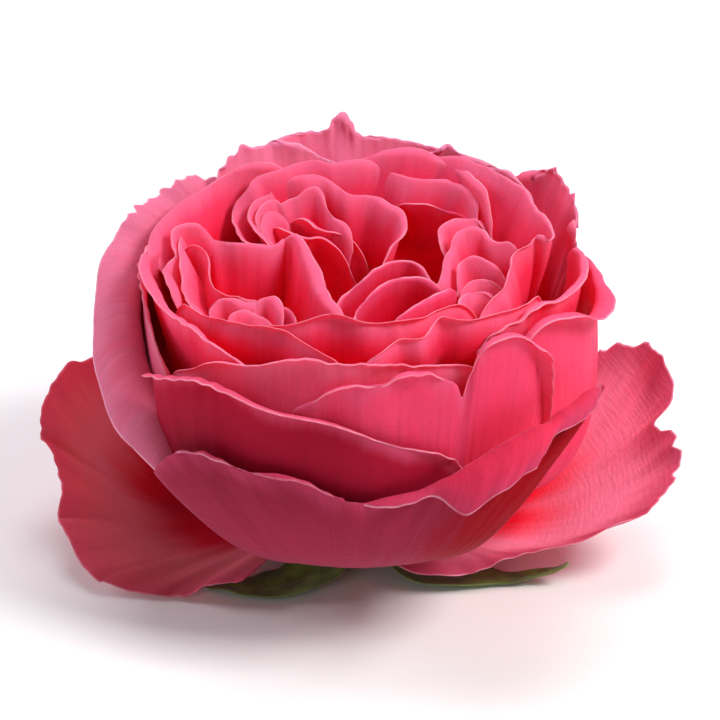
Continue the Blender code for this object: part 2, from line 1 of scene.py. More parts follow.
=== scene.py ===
"""A full garden rose bloom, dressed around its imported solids.

Every petal is a function of two parameters: one runs across the petal from side
to side, the other along it from the claw to the margin.  The function is worked
out on a grid in millimetres, ruffled, given a thickness that thins towards the
margin, and closed round its edge.  The crowded middle is built from such folds
too, each hung from a rim that curls through the bloom.
"""
from __future__ import annotations

import logging
from dataclasses import dataclass
from enum import Enum

import bpy
import numpy as np
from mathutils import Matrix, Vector

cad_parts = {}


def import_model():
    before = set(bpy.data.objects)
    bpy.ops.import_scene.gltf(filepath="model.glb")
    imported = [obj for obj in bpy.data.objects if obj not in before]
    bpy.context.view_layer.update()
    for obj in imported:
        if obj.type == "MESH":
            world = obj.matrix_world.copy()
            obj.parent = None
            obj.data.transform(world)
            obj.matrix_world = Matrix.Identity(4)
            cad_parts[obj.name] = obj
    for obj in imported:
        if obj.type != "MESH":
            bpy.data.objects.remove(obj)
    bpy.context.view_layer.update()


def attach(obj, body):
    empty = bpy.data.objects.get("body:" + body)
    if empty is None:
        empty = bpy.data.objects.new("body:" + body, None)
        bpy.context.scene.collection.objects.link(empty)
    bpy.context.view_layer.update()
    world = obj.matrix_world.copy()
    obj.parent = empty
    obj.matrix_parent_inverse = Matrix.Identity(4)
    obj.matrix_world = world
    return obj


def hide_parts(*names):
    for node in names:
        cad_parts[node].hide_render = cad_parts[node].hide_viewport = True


Array = np.ndarray
Colour = tuple[float, float, float]
Place = tuple[float, float, float]
Amounts = float | tuple[float, ...]
Knots = tuple[tuple[float, ...], ...]

log = logging.getLogger("rose")

MM = 0.001
PITCH = 1.1                 # rise from one claw to the next in the stack, in mm
SETTLE = (0.1, 0.5)         # shares of a petal's length between which it leaves the stack
LEAST_HEM = 0.15            # narrowest rolled margin, in mm
PETAL_THICKNESS = 0.34
SEPAL_THICKNESS = 0.7
EDGE_SHARE = 0.5            # thickness at the very edge, as a share of the full thickness
EDGE_TAPER = 2.5            # distance from the edge in mm over which the thickness falls
EDGE_BULGE = 0.8            # how far the edge is rounded out, as a share of half the thickness
UV_UNIT = 100.0             # millimetres in one unit of the petals' own map
EDGE_UNIT = 10.0            # millimetres in one unit of the edge numbers
CURVE_POINTS = 601          # points on a measured outline


class Side(Enum):
    """Which way a measure of the cup's outline finds a petal's rim."""

    BY_HEIGHT = "height"
    BY_RADIUS = "radius"


def spline(knots: Array | Knots, share: Array) -> Array:
    """A smooth curve through the knots, spaced by their distances to the power 0.8.

    Each stretch is a cubic whose slopes at the knots are the mean of the slopes of
    the two neighbouring stretches, the shorter one counting for more.

    Args:
        knots: One row a knot; the first three columns set the spacing.
        share: Places along the whole curve, from 0 to 1.

    Returns:
        One row for each place.
    """
    knots = np.asarray(knots, float)
    if knots.ndim == 1:
        knots = knots[:, None]
        gaps = np.ones(len(knots) - 1)
    else:
        gaps = np.maximum(np.linalg.norm(np.diff(knots[:, :3], axis=0), axis=1), 1e-6) ** 0.8
    at = np.concatenate([[0], np.cumsum(gaps)])
    at /= at[-1]
    step = np.diff(at)
    rate = np.diff(knots, axis=0) / step[:, None]
    slope = np.empty_like(knots)
    slope[0], slope[-1] = rate[0], rate[-1]
    if len(knots) > 2:
        slope[1:-1] = ((rate[:-1] * step[1:, None] + rate[1:] * step[:-1, None])
                       / (step[1:] + step[:-1])[:, None])
    i = np.clip(np.searchsorted(at, share, side="right") - 1, 0, len(knots) - 2)
    width = step[i][:, None]
    t = ((share - at[i]) / step[i])[:, None]
    return ((2 * t**3 - 3 * t**2 + 1) * knots[i] + (t**3 - 2 * t**2 + t) * slope[i] * width
            + (3 * t**2 - 2 * t**3) * knots[i + 1] + (t**3 - t**2) * slope[i + 1] * width)


def along_edge(value: Amounts, share: Array) -> Array:
    """One number for the whole edge, or several spread evenly along it.

    Args:
        value: The number or numbers.
        share: Places along the edge, from 0 to 1.

    Returns:
        The number at each place.
    """
    value = np.atleast_1d(np.asarray(value, float))
    return np.full(len(share), value[0]) if len(value) == 1 else spline(value, share)[:, 0]


def ease(x: Array | float, low: float, high: float) -> Array:
    """Rises smoothly from 0 at low to 1 at high, as 3x squared minus 2x cubed."""
    t = np.clip((x - low) / (high - low), 0, 1)
    return t * t * (3 - 2 * t)


def unit(vectors: Array) -> Array:
    """The vectors at length 1, along the last axis."""
    return vectors / np.maximum(np.linalg.norm(vectors, axis=-1, keepdims=True), 1e-9)


def lengths(points: Array, axis: int) -> Array:
    """Length along one axis of a grid of points, from its first row or column."""
    step = np.linalg.norm(np.diff(points, axis=axis), axis=2)
    return np.concatenate([0 * step.take([0], axis), np.cumsum(step, axis)], axis)


def normals(points: Array) -> Array:
    """The unit vectors square to a grid of points."""
    return unit(np.cross(np.gradient(points, axis=1), np.gradient(points, axis=0)))


def around(turn: Array, radius: Array | float, height: Array | float) -> Array:
    """Points turned about the upright axis, at a radius from it and at a height."""
    return np.stack(np.broadcast_arrays(radius * np.cos(turn), radius * np.sin(turn), height), -1)


def quads(*corners: Array | int) -> Array:
    """Faces as rows of four vertex numbers, from the numbers of each corner."""
    return np.stack(np.broadcast_arrays(*corners), -1).reshape(-1, 4)


class Ripple:
    """A smooth seeded wave along a line: sines whose lengths don't match."""

    SINES = 5
    SPREAD = (0.6, 1.8)     # their lengths, as shares of the mean length
    DRIFT = 2.5             # how far depth slides them past each other
    SCALE = 2.2             # brings their sum to about -1 to 1

    def __init__(self, seed: int, length: float) -> None:
        """Draws the lengths, phases and slides of the sines, in this order.

        Args:
            seed: What the draw starts from.
            length: Mean length of the sines.
        """
        draw = np.random.default_rng(seed)
        self.rate = 2 * np.pi / (length * draw.uniform(*self.SPREAD, self.SINES))
        self.phase = draw.uniform(0, 2 * np.pi, self.SINES)
        self.drift = draw.uniform(-self.DRIFT, self.DRIFT, self.SINES)

    def at(self, place: Array, depth: Array | float = 0.0) -> Array:
        """The wave's height, about -1 to 1."""
        angle = (place[..., None] * self.rate + self.phase
                 + np.asarray(depth)[..., None] * self.drift)
        return np.sin(angle).sum(-1) / self.SCALE


class Outline:
    """A radius and height curve that petals follow from their claws at a depth inside it."""

    def __init__(self, knots: Knots, start: float, lift: float, side: Side) -> None:
        """Measures the curve through the knots.

        Args:
            knots: Radius and height pairs in mm, from the claws to the rim.
            start: Length along the curve at which the claws begin.
            lift: How late a petal rises to its rim's own height.
            side: What finds a rim on the curve.
        """
        self.start = start
        self.lift = lift
        self.side = side
        self.curve = spline(knots, np.linspace(0, 1, CURVE_POINTS))
        run = np.diff(self.curve, axis=0)
        self.length = np.concatenate([[0], np.cumsum(np.linalg.norm(run, axis=1))])
        ahead = unit(np.gradient(self.curve, axis=0))
        self.inward = np.stack([-ahead[:, 1], ahead[:, 0]], 1)

    def at(self, length: Array, sink: Array | float) -> tuple[Array, Array]:
        """Radius and height at a length along the curve, sunk inwards.

        Args:
            length: Length along the curve.
            sink: Depth inside the curve.

        Returns:
            The radius and the height.
        """
        r, z, nr, nz = (np.interp(length, self.length, v) for v in
                        (*self.curve.T, *self.inward.T))
        return r + nr * sink, z + nz * sink

    def up_to(self, r: Array, z: Array) -> Array:
        """Length along the curve up to a rim.

        Args:
            r: The rim's radius.
            z: The rim's height.

        Returns:
            The length, found by the side that counts.
        """
        if self.side is Side.BY_RADIUS:
            return np.interp(r, self.curve[:, 0], self.length)
        rising = len(self.curve) // 4
        return np.interp(z, self.curve[rising:, 1], self.length[rising:])


CUP = Outline(((6, 11), (14, 10), (22, 9.8), (29, 11.2), (35.5, 14.6), (40, 19.4), (42.8, 26),
               (43.8, 34.5), (43.8, 44), (43.3, 54), (42.5, 66)), 1, 1.5, Side.BY_HEIGHT)
GUARD = Outline(((6, 9.2), (12, 7.8), (20, 6.2), (28, 6), (36, 7.8), (43, 11.6), (50, 17.5),
                 (56, 24), (62, 30)), 1.5, 3, Side.BY_RADIUS)


class Value:
    """A number that varies over a surface; arithmetic on it adds Math nodes."""

    def __init__(self, shader: Shader, socket: bpy.types.NodeSocket) -> None:
        """Wraps an output socket of the shader."""
        self.shader = shader
        self.socket = socket

    def _math(self, operation: str, first: Value | float, second: Value | float) -> Value:
        """Adds one Math node on two numbers and wraps its result."""
        node = self.shader.node("ShaderNodeMath", {0: first, 1: second}, operation=operation)
        return Value(self.shader, node.outputs[0])

    def __add__(self, other: Value | float) -> Value:
        """The sum."""
        return self._math("ADD", self, other)

    def __radd__(self, other: float) -> Value:
        """The sum, reflected."""
        return self._math("ADD", other, self)

    def __sub__(self, other: Value | float) -> Value:
        """The difference."""
        return self._math("SUBTRACT", self, other)

    def __rsub__(self, other: float) -> Value:
        """The difference, reflected."""
        return self._math("SUBTRACT", other, self)

    def __mul__(self, other: Value | float) -> Value:
        """The product."""
        return self._math("MULTIPLY", self, other)

    def __rmul__(self, other: float) -> Value:
        """The product, reflected."""
        return self._math("MULTIPLY", other, self)

    def eased(self, low: float, high: float) -> Value:
        """0 below low and 1 above high, or the other way round, with a smooth step between."""
        node = self.shader.node("ShaderNodeMapRange", {
            "Value": self, "From Min": min(low, high), "From Max": max(low, high),
            "To Min": float(low > high), "To Max": float(low <= high)}, interpolation_type="SMOOTHSTEP")
        return Value(self.shader, node.outputs["Result"])


class Shader:
    """A material under construction."""

    def __init__(self, name: str) -> None:
        """Starts an empty node tree.

        Args:
            name: The material's name.
        """
        self.material = bpy.data.materials.new(name)
        self.material.use_nodes = True
        self.tree = self.material.node_tree
        self.tree.nodes.clear()

    def node(self, kind: str, sockets: dict[str | int, object], **settings: object) -> bpy.types.Node:
        """Adds any node.

        Args:
            kind: The node's type.
            sockets: Values or links of its input sockets, by name or place.
            settings: Properties to set first.

        Returns:
            The new node.
        """
        node = self.tree.nodes.new(kind)
        for name, value in settings.items():
            setattr(node, name, value)
        for key, value in sockets.items():
            source = value.socket if isinstance(value, Value) else value
            entry = node.inputs[key]
            if isinstance(source, bpy.types.NodeSocket):
                self.tree.links.new(source, entry)
            else:
                entry.default_value = (*source, 1.0) if entry.type == "RGBA" else source
        return node

    def attribute(self, name: str) -> Value:
        """A number kept on the mesh's vertices."""
        return Value(self, self.node("ShaderNodeAttribute", {}, attribute_name=name).outputs["Fac"])

    def own_map(self) -> bpy.types.NodeSocket:
        """The place on the petal's own map."""
        return self.node("ShaderNodeUVMap", {}, uv_map="UVMap").outputs["UV"]

    def body(self) -> bpy.types.NodeSocket:
        """The place in the bloom, in metres."""
        return self.node("ShaderNodeTexCoord", {}).outputs["Object"]

    def noise(self, place: bpy.types.NodeSocket, scale: float, detail: float) -> Value:
        """Soft noise from 0 to 1, with this many lumps in one unit of the place."""
        node = self.node("ShaderNodeTexNoise", {"Vector": place, "Scale": scale, "Detail": detail})
        return Value(self, node.outputs["Fac"])

    def streaks(self, place: bpy.types.NodeSocket, across: float, along: float, detail: float) -> Value:
        """Soft noise with this many lumps across and along one unit of the own map."""
        node = self.node("ShaderNodeMapping", {"Vector": place, "Scale": (across, along, 1)})
        return self.noise(node.outputs["Vector"], 1.0, detail)

    def blend(self, share: Value, first: object, second: object) -> bpy.types.NodeSocket:
        """The first colour where share is 0, and the second where it is 1."""
        return self.node("ShaderNodeMix", {0: share, 6: first, 7: second}, data_type="RGBA").outputs[2]

    def tinted(self, colour: bpy.types.NodeSocket, amount: Value) -> bpy.types.NodeSocket:
        """The colour made lighter or darker by an amount around 1."""
        grey = self.node("ShaderNodeCombineColor", {0: amount, 1: amount, 2: amount})
        return self.node("ShaderNodeMix", {0: 1.0, 6: colour, 7: grey.outputs[0]},
                         data_type="RGBA", blend_type="MULTIPLY").outputs[2]

    def bump(self, height: Value, strength: float, distance: float) -> bpy.types.NodeSocket:
        """The normal of a surface that is this high, with the distance in metres."""
        node = self.node("ShaderNodeBump", {"Height": height, "Strength": strength, "Distance": distance})
        return node.outputs["Normal"]

    def shown(self, surface: bpy.types.Node) -> bpy.types.Material:
        """The material, showing this surface."""
        self.node("ShaderNodeOutputMaterial", {"Surface": surface.outputs[0]})
        return self.material


EDGE_HIGHLIGHT: Colour = (0.96, 0.50, 0.68)   # painted highlight: the pale line along the edge of most petals


@dataclass(frozen=True)
class PetalFinish:
    """Velvety petal skin; the colours are linear."""

    name: str
    blade: Colour           # most of the petal
    heart: Colour           # the darker part towards the claw: partly the petal's own colour, partly painted shade deep in the bloom
    lip: Colour             # the cooler last few millimetres
    back: Colour            # the outer face
    line: Colour = EDGE_HIGHLIGHT     # painted highlight: the pale line along the very edge
    back_share: float = 0.5
    shade: Colour = (0.32, 0.0006, 0.006)    # painted shade that the outer face turns to at the far side
    painted_shade_from: float = 2.0     # where that painted shade starts, as a share of the width; past 1 is nowhere
    wrinkles: float = 0.4   # height of the short wrinkles across the blade, next to the veins' 0.6
    lip_width: float = 6.0  # in mm
    fade: tuple[float, float] = (5.0, 26.0)  # mm from the margin between which blade turns to heart
    veins: float = 0.11     # how much the veins lighten and darken the colour
    patches: float = 0.19   # the same for the broad patches
    grain: float = 0.2      # and for the fine grain
    glow: float = 0.36      # share of the light that passes through the skin
    glow_colour: Colour = (0.95, 0.014, 0.075)
    lip_share: float = 0.75     # how far the lip's colour covers the blade
    highlight_share: float = 0.8     # the same for the painted highlight along the edge
    highlight_reach: tuple[float, float] = (0.45, 0.05)  # mm from the edge between which it appears
    thin_reach: float = 14.0    # mm from the edge over which more light passes through
    roughness: float = 0.55
    sheen: float = 0.14
    sheen_tint: Colour = (1.0, 0.42, 0.68)
    relief: float = 0.24    # strength of the bump

    def material(self) -> bpy.types.Material:
        """Builds the skin from the petal's own map and its edge, outer and along numbers.

        Returns:
            The material.
        """
        s = Shader(self.name)
        place = s.own_map()
        veins = s.streaks(place, 130, 9, 3.0)
        broad = s.streaks(place, 20, 7, 2.0)
        wrinkle = s.streaks(place, 22, 130, 2.0)
        grain = s.noise(s.body(), 2600.0, 1.0)
        edge = s.attribute("edge") * EDGE_UNIT
        outer = s.attribute("outer")
        # Mask of the painted shade on the far side of the outer face.
        far = (s.attribute("along") + (broad - 0.5) * 0.3).eased(self.painted_shade_from, self.painted_shade_from + 0.3)
        near = edge + (broad - 0.5) * self.lip_width * 0.8
        # Painted highlight: a pale line along the rim, broken up by the patches.
        line = edge.eased(*self.highlight_reach) * broad.eased(0.1, 0.75)
        # Darker towards the claw: partly the petal's own colour, partly painted shade deep in the bloom.
        deep = (edge + (broad - 0.5) * 6.0).eased(*self.fade)
        colour = s.blend(deep, self.blade, self.heart)
        colour = s.blend(outer * self.back_share, colour, self.back)
        # Painted shade on the far side of the outer face.
        colour = s.blend(far * outer, colour, self.shade)
        colour = s.blend(near.eased(self.lip_width, 0.0) * self.lip_share, colour, self.lip)
        colour = s.blend(line * self.highlight_share, colour, self.line)
        shade = (veins - 0.5) * self.veins * 2.0 + (broad - 0.5) * self.patches + (grain - 0.5) * self.grain
        height = veins * 0.6 + grain * 0.25 + wrinkle * self.wrinkles
        skin = s.node("ShaderNodeBsdfPrincipled", {
            "Base Color": s.tinted(colour, shade + 1.0), "Roughness": (veins - 0.5) * 0.15 + self.roughness,
            "Normal": s.bump(height, self.relief, 0.0003), "IOR": 1.4, "Specular IOR Level": 0.08,
            "Sheen Weight": self.sheen, "Sheen Roughness": 0.4, "Sheen Tint": self.sheen_tint})
        through = s.node("ShaderNodeBsdfTranslucent", {"Color": self.glow_colour})
        thin = edge.eased(self.thin_reach, 0.0) * 0.7 + 0.5
        return s.shown(s.node("ShaderNodeMixShader", {0: thin * self.glow, 1: skin.outputs[0],
                                                      2: through.outputs[0]}))


@dataclass(frozen=True)
class LeafFinish:
    """Green skin of the hip and the sepals; the colours are linear."""

    name: str
    green: Colour
    dark: Colour
    edge: Colour
    cut: Colour             # the pith where the hip is cut

    def material(self) -> bpy.types.Material:
        """Builds the skin from the blades' own map and their edge and cut numbers.

        Returns:
            The material.
        """
        s = Shader(self.name)
        body = s.body()
        ribs = s.streaks(s.own_map(), 90, 4, 2.0)
        patches = s.noise(body, 260.0, 3.0)
        grain = s.noise(body, 2400.0, 1.0)
        edge = s.attribute("edge") * EDGE_UNIT
        colour = s.blend(patches.eased(0.35, 0.65), self.dark, self.green)
        colour = s.blend(edge.eased(0.9, 0.1) * 0.6, colour, self.edge)
        colour = s.blend(s.attribute("cut"), colour, self.cut)
        colour = s.tinted(colour, (ribs - 0.5) * 0.5 + (grain - 0.5) * 0.2 + 1.0)
        return s.shown(s.node("ShaderNodeBsdfPrincipled", {
            "Base Color": colour, "Roughness": (ribs - 0.5) * 0.2 + 0.5,
            "Normal": s.bump(ribs * 0.7 + grain * 0.3, 0.4, 0.0005),
            "Specular IOR Level": 0.4, "Sheen Weight": 0.2, "Sheen Roughness": 0.5}))


class Shell:
    """Closed surfaces joined in one mesh, with numbers kept on their vertices."""

    NUMBERS = ("edge", "outer", "along", "cut")

    def __init__(self) -> None:
        """Starts with nothing."""
        self.points: list[Array] = []
        self.faces: list[Array] = []
        self.map: list[Array] = []
        self.numbers: dict[str, list[Array]] = {name: [] for name in self.NUMBERS}
        self.count = 0

    def add(self, points: Array, faces: Array, place: Array, numbers: dict[str, Array | float]) -> None:
        """Adds one closed surface.

        Args:
            points: Vertices in mm.
            faces: Rows of four vertex numbers; a triangle repeats its last one.
            place: The vertices' place on the petal in mm, across and along.
            numbers: The vertices' own numbers by name, or one for all; a name left out is 0.
        """
        self.points.append(points)
        self.faces.append(faces + self.count)
        self.map.append(place / UV_UNIT)
        for name in self.NUMBERS:
            self.numbers[name].append(np.broadcast_to(numbers.get(name, 0.0), len(points)))
        self.count += len(points)

    def object(self, name: str, material: bpy.types.Material) -> bpy.types.Object:
        """Makes the mesh object, at the origin and in metres.

        Args:
            name: The piece's name.
            material: Its finish.

        Returns:
            The linked object.
        """
        points = np.concatenate(self.points) * MM
        faces = np.concatenate(self.faces)
        triangle = faces[:, 2] == faces[:, 3]
        sizes = np.where(triangle, 3, 4)
        keep = np.ones(faces.shape, bool)
        keep[triangle, 3] = False
        corners = faces[keep].astype(np.int32)
        starts = np.concatenate([[0], np.cumsum(sizes)[:-1]]).astype(np.int32)
        mesh = bpy.data.meshes.new(name)
        mesh.vertices.add(len(points))
        mesh.vertices.foreach_set("co", points.astype(np.float32).ravel())
        mesh.loops.add(len(corners))
        mesh.loops.foreach_set("vertex_index", corners)
        mesh.polygons.add(len(faces))
        mesh.polygons.foreach_set("loop_start", starts)
        mesh.update(calc_edges=True)
        layer = mesh.uv_layers.new(name="UVMap")
        layer.uv.foreach_set("vector", np.concatenate(self.map)[corners].astype(np.float32).ravel())
        for key, parts in self.numbers.items():
            field = mesh.attributes.new(key, "FLOAT", "POINT")
            field.data.foreach_set("value", np.concatenate(parts).astype(np.float32))
        mesh.shade_smooth()
        mesh.materials.append(material)
        obj = bpy.data.objects.new(name, mesh)
        bpy.context.scene.collection.objects.link(obj)
        return obj


@dataclass(frozen=True)
class Ruffles:
    """Lengths in mm of a margin's small waves, and depths over which they halve."""

    frill: float = 5.5
    frill_fade: float = 2.5
    flute: float = 15
    flute_fade: float = 7
    crease: float = 9
    tooth: float = 3.6
    tooth_fade: float = 1.2
    gust: float = 34        # how long the calm and the frilly stretches are
    slide: float = 12       # depth over which the waves slide past each other
    root: float = 4         # length above the claw at which the creases begin


RUFFLES = Ruffles()


class Sheet:
    """A petal's middle surface: a grid of points in mm, rows along it and columns across."""

    def __init__(self, points: Array, outward: Array) -> None:
        """Turns the grid so that its normals point outward.

        Args:
            points: Rows, columns and three coordinates.
            outward: A direction for each column, away from the bloom's middle.
        """
        self.points = points
        self.turned = bool((normals(points)[len(points) // 2] * outward).sum() < 0)
        if self.turned:
            self.points = points[:, ::-1]

    def edge(self) -> Array:
        """Distance in mm to the nearest free edge: the margin or a side."""
        up, over = lengths(self.points, 0), lengths(self.points, 1)
        return np.minimum(np.minimum(up[-1] - up, over), over[:, -1:] - over)

    def ruffle(self, seed: int, frill: Array, flute: Array, tooth: Array, crease: float) -> None:
        """Adds the margin's small forms, whose measures are those of RUFFLES.

        The frill is a wave square to the sheet and the flute a longer one; both halve
        again and again with the distance from the margin.  The crease is a set of
        lengthwise folds that grow up to half-way, and the tooth moves the margin
        itself in and out.

        Args:
            seed: Draws the waves.
            frill: Height of the frill in mm for each column.
            flute: Height of the flute.
            tooth: Depth of the teeth.
            crease: Height of the creases.
        """
        if self.turned:
            frill, flute, tooth = frill[::-1], flute[::-1], tooth[::-1]
        size = RUFFLES
        square = normals(self.points)
        ahead = unit(self.points[-1] - self.points[-3])
        up = lengths(self.points, 0)
        inside = up[-1] - up
        rim = np.broadcast_to(lengths(self.points, 1)[-1], up.shape)
        depth = inside / size.slide
        gust = ease(Ripple(seed + 4, size.gust).at(rim), -0.5, 1)
        wave = frill * gust * 0.5 ** (inside / size.frill_fade) * Ripple(seed, size.frill).at(rim, depth)
        wave = wave + flute * 0.5 ** (inside / size.flute_fade) * Ripple(seed + 1, size.flute).at(rim, depth)
        fold = Ripple(seed + 2, size.crease).at(rim, depth * 0.3)
        wave = wave + crease * ease(up, size.root, up.max() * 0.6) * (1 - np.abs(fold)) ** 2
        self.points = self.points + square * wave[..., None]
        reach = tooth * (0.3 + gust) * 0.5 ** (inside / size.tooth_fade)
        reach = reach * Ripple(seed + 3, size.tooth).at(rim)
        self.points = self.points + ahead[None] * reach[..., None]

    def close(self, shell: Shell, thickness: float) -> None:
        """Gives the sheet its thickness and adds it to a shell as a closed surface.

        Both faces lie half a thickness from the middle surface.  A ring of points
        round the edge, pushed out by under half a thickness, rounds it off.

        Args:
            shell: The shell that takes the surface.
            thickness: Full thickness in mm.
        """
        rows, columns = self.points.shape[:2]
        half = thickness / 2 * (EDGE_SHARE + (1 - EDGE_SHARE) * ease(self.edge(), 0, EDGE_TAPER))
        square = normals(self.points) * half[..., None]
        ring = ring_of(rows, columns)
        out = np.zeros_like(self.points)
        out[0] -= unit(self.points[1] - self.points[0])
        out[-1] += unit(self.points[-1] - self.points[-2])
        out[:, 0] -= unit(self.points[:, 1] - self.points[:, 0])
        out[:, -1] += unit(self.points[:, -1] - self.points[:, -2])
        middle = self.points + unit(out) * half[..., None] * EDGE_BULGE
        count = rows * columns
        points = np.concatenate([(self.points + square).reshape(-1, 3),
                                 (self.points - square).reshape(-1, 3),
                                 middle.reshape(-1, 3)[ring]])
        first = np.arange(count).reshape(rows, columns)
        a, b, c, d = first[:-1, :-1], first[:-1, 1:], first[1:, 1:], first[1:, :-1]
        here, there = ring, np.roll(ring, -1)
        lip = 2 * count + np.arange(len(ring))
        after = np.roll(lip, -1)
        faces = [quads(a, b, c, d), quads(a, d, c, b) + count, quads(there, here, lip, after),
                 quads(after, lip, here + count, there + count)]
        source = np.concatenate([np.arange(count), np.arange(count), ring])
        up, width = lengths(self.points, 0), np.broadcast_to(lengths(self.points, 1)[-1], (rows, columns))
        shell.add(points, np.concatenate(faces), np.stack([width, up], -1).reshape(-1, 2)[source], {
            "edge": ((up[-1] - up).ravel() / EDGE_UNIT)[source],
            "outer": np.repeat([1.0, 0.0, 0.5], [count, count, len(ring)]),
            "along": (width / width[0, -1]).ravel()[source]})


def ring_of(rows: int, columns: int) -> Array:
    """Vertex numbers round the edge of a grid, turning from across to along."""
    grid = np.arange(rows * columns).reshape(rows, columns)
    return np.concatenate([grid[0], grid[1:, -1], grid[-1, -2::-1], grid[-2:0:-1, 0]])


def hemmed(sheet: Array, outward: Array, width: Array, curl: Array, rows: int) -> Array:
    """Adds a margin that rolls outwards past the rim.

    Each new row goes a step further in a direction that turns from straight ahead
    by the curl times one minus the square of what is left of the margin, so most of
    the bend comes first and the rest of the margin hangs.

    Args:
        sheet: The grid up to the rim.
        outward: A direction for each column.
        width: Width of the margin for each column in mm.
        curl: Angle in degrees that each column's margin rolls through.
        rows: Rows to add.

    Returns:
        The longer grid.
    """
    if not rows or width.max() <= 0:
        return sheet
    ahead = unit(sheet[-1] - sheet[-2])
    over = unit(np.cross(np.gradient(sheet[-1], axis=0), ahead))
    over = over * np.sign((over * outward).sum(1, keepdims=True) + 1e-9)
    share = (np.arange(rows) + 0.5) / rows
    angle = (np.radians(curl) * (1 - (1 - share[:, None]) ** 2))[..., None]
    step = np.maximum(width, LEAST_HEM)[None, :, None] / rows
    run = step * (np.cos(angle) * ahead + np.sin(angle) * over)
    return np.concatenate([sheet, sheet[-1] + np.cumsum(run, axis=0)])


@dataclass
class Petal:
    """An outer petal; its rim is (azimuth, radius, height, depth inside the outline)."""

    name: str
    rim: Knots
    claw: float             # azimuth of the claw
    finish: PetalFinish
    reach: float = 24       # half-angle of the claw
    fan: float = 0.75       # how late the sheet spreads from its claw to its full width
    level: float = 1        # place in the stack of claws
    late: float = 3         # how late the sheet leaves the outline for its rim
    flare: float = 0        # how far in mm the upper half is drawn in below the rim, or out if negative
    roll: Amounts = 0       # width of the rolled margin
    curl: Amounts = 100     # angle in degrees that the margin rolls through
    wave: float = 0.3       # height of the long ruffles
    waves: float = 3
    outline: Outline = CUP
    seed: int = 0
    frill: Amounts = 0.16
    flute: Amounts = 0.4
    tooth: Amounts = 0.16
    crease: float = 0.08
    points: Knots = ()      # (share of the rim, half-width as a share, lift in mm)
    crowd: float = 1.3      # how much the rows crowd towards the rim
    across: int = 130
    up: int = 42
    hem: int = 8

    def sheet(self) -> Sheet:
        """The petal's middle surface.

        A point at s across and t along lies on the outline at t of the way from the
        claws to the rim, sunk by a depth that eases from the claw's place in the
        stack to the rim's own, at an azimuth that fans out from the claw as t to the
        power fan.  Its radius and height then leave the outline, late, for the rim's.
        The flare draws the upper half in by the square of half a sine, and each point
        lifts the rim by a cusp to the power 1.5.

        Returns:
            The sheet.
        """
        s = np.linspace(0, 1, self.across + 1)
        t = (1 - (1 - np.linspace(0, 1, self.up + 1)) ** self.crowd)[:, None]
        rim = np.array(self.rim, float)
        place = around(np.radians(rim[:, 0]), rim[:, 1], rim[:, 2])
        z, azimuth, r, sink = spline(np.hstack([place, rim[:, [0, 1, 3]]]), s)[:, 2:].T
        for share, half, lift in self.points:
            z = z + lift * np.maximum(0, 1 - np.abs(s - share) / half) ** 1.5
        full = self.outline.up_to(r, z)
        side = np.sign(azimuth[-1] - azimuth[0])
        fan = self.claw + side * self.reach * (2 * s - 1)
        fan = fan + (azimuth - fan) * t ** self.fan
        depth = self.level * PITCH + (sink - self.level * PITCH) * ease(t, *SETTLE)
        start = self.outline.start
        radius, height = self.outline.at(start + (full - start) * t, depth)
        end_r, end_z = self.outline.at(full, sink)
        radius = radius + (r - end_r) * t ** self.late
        radius = radius - self.flare * np.sin(np.pi * np.clip(2 * t - 1, 0, 1)) ** 2 * (2 * t - 0.6)
        height = height + (z - end_z) * t ** self.outline.lift
        turn = np.radians(fan)
        grid = around(turn, radius, height)
        outward = around(turn[-1], 1.0, 0.0)
        grid = hemmed(grid, outward, along_edge(self.roll, s), along_edge(self.curl, s), self.hem)
        grid = grid + self.long_ruffles(grid, s)
        sheet = Sheet(grid, outward)
        sheet.ruffle(self.seed, along_edge(self.frill, s), along_edge(self.flute, s),
                     along_edge(self.tooth, s), self.crease)
        return sheet

    def long_ruffles(self, grid: Array, s: Array) -> Array:
        """Three sines across the petal that grow with the cube of the way along it.

        Args:
            grid: The petal's points.
            s: Places across it, from 0 to 1.

        Returns:
            How far each point moves.
        """
        way = lengths(grid, 0)
        way = way / way[-1]
        x = 2 * np.pi * s[None, :]
        ripple = (np.sin(self.waves * x) + 0.5 * np.sin(1.7 * self.waves * x + 1)
                  + 0.3 * np.sin(0.6 * self.waves * x + 0.7))
        return normals(grid) * (self.wave * way**3 * ripple)[:, :, None]

    def build(self) -> None:
        """Makes the petal, which stands for its solid of the same name."""
        shell = Shell()
        self.sheet().close(shell, PETAL_THICKNESS)
        place_on(shell.object(self.name + "_blade", self.finish.material()), self.name)


def place_on(piece: bpy.types.Object, node: str) -> None:
    """Lets a piece stand for a solid, which it hides, and ride with the bloom.

    Args:
        piece: The piece.
        node: The solid's name.
    """
    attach(piece, "root")
    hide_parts(node)
    log.info("%s: %d faces for %s", piece.name, len(piece.data.polygons), node)


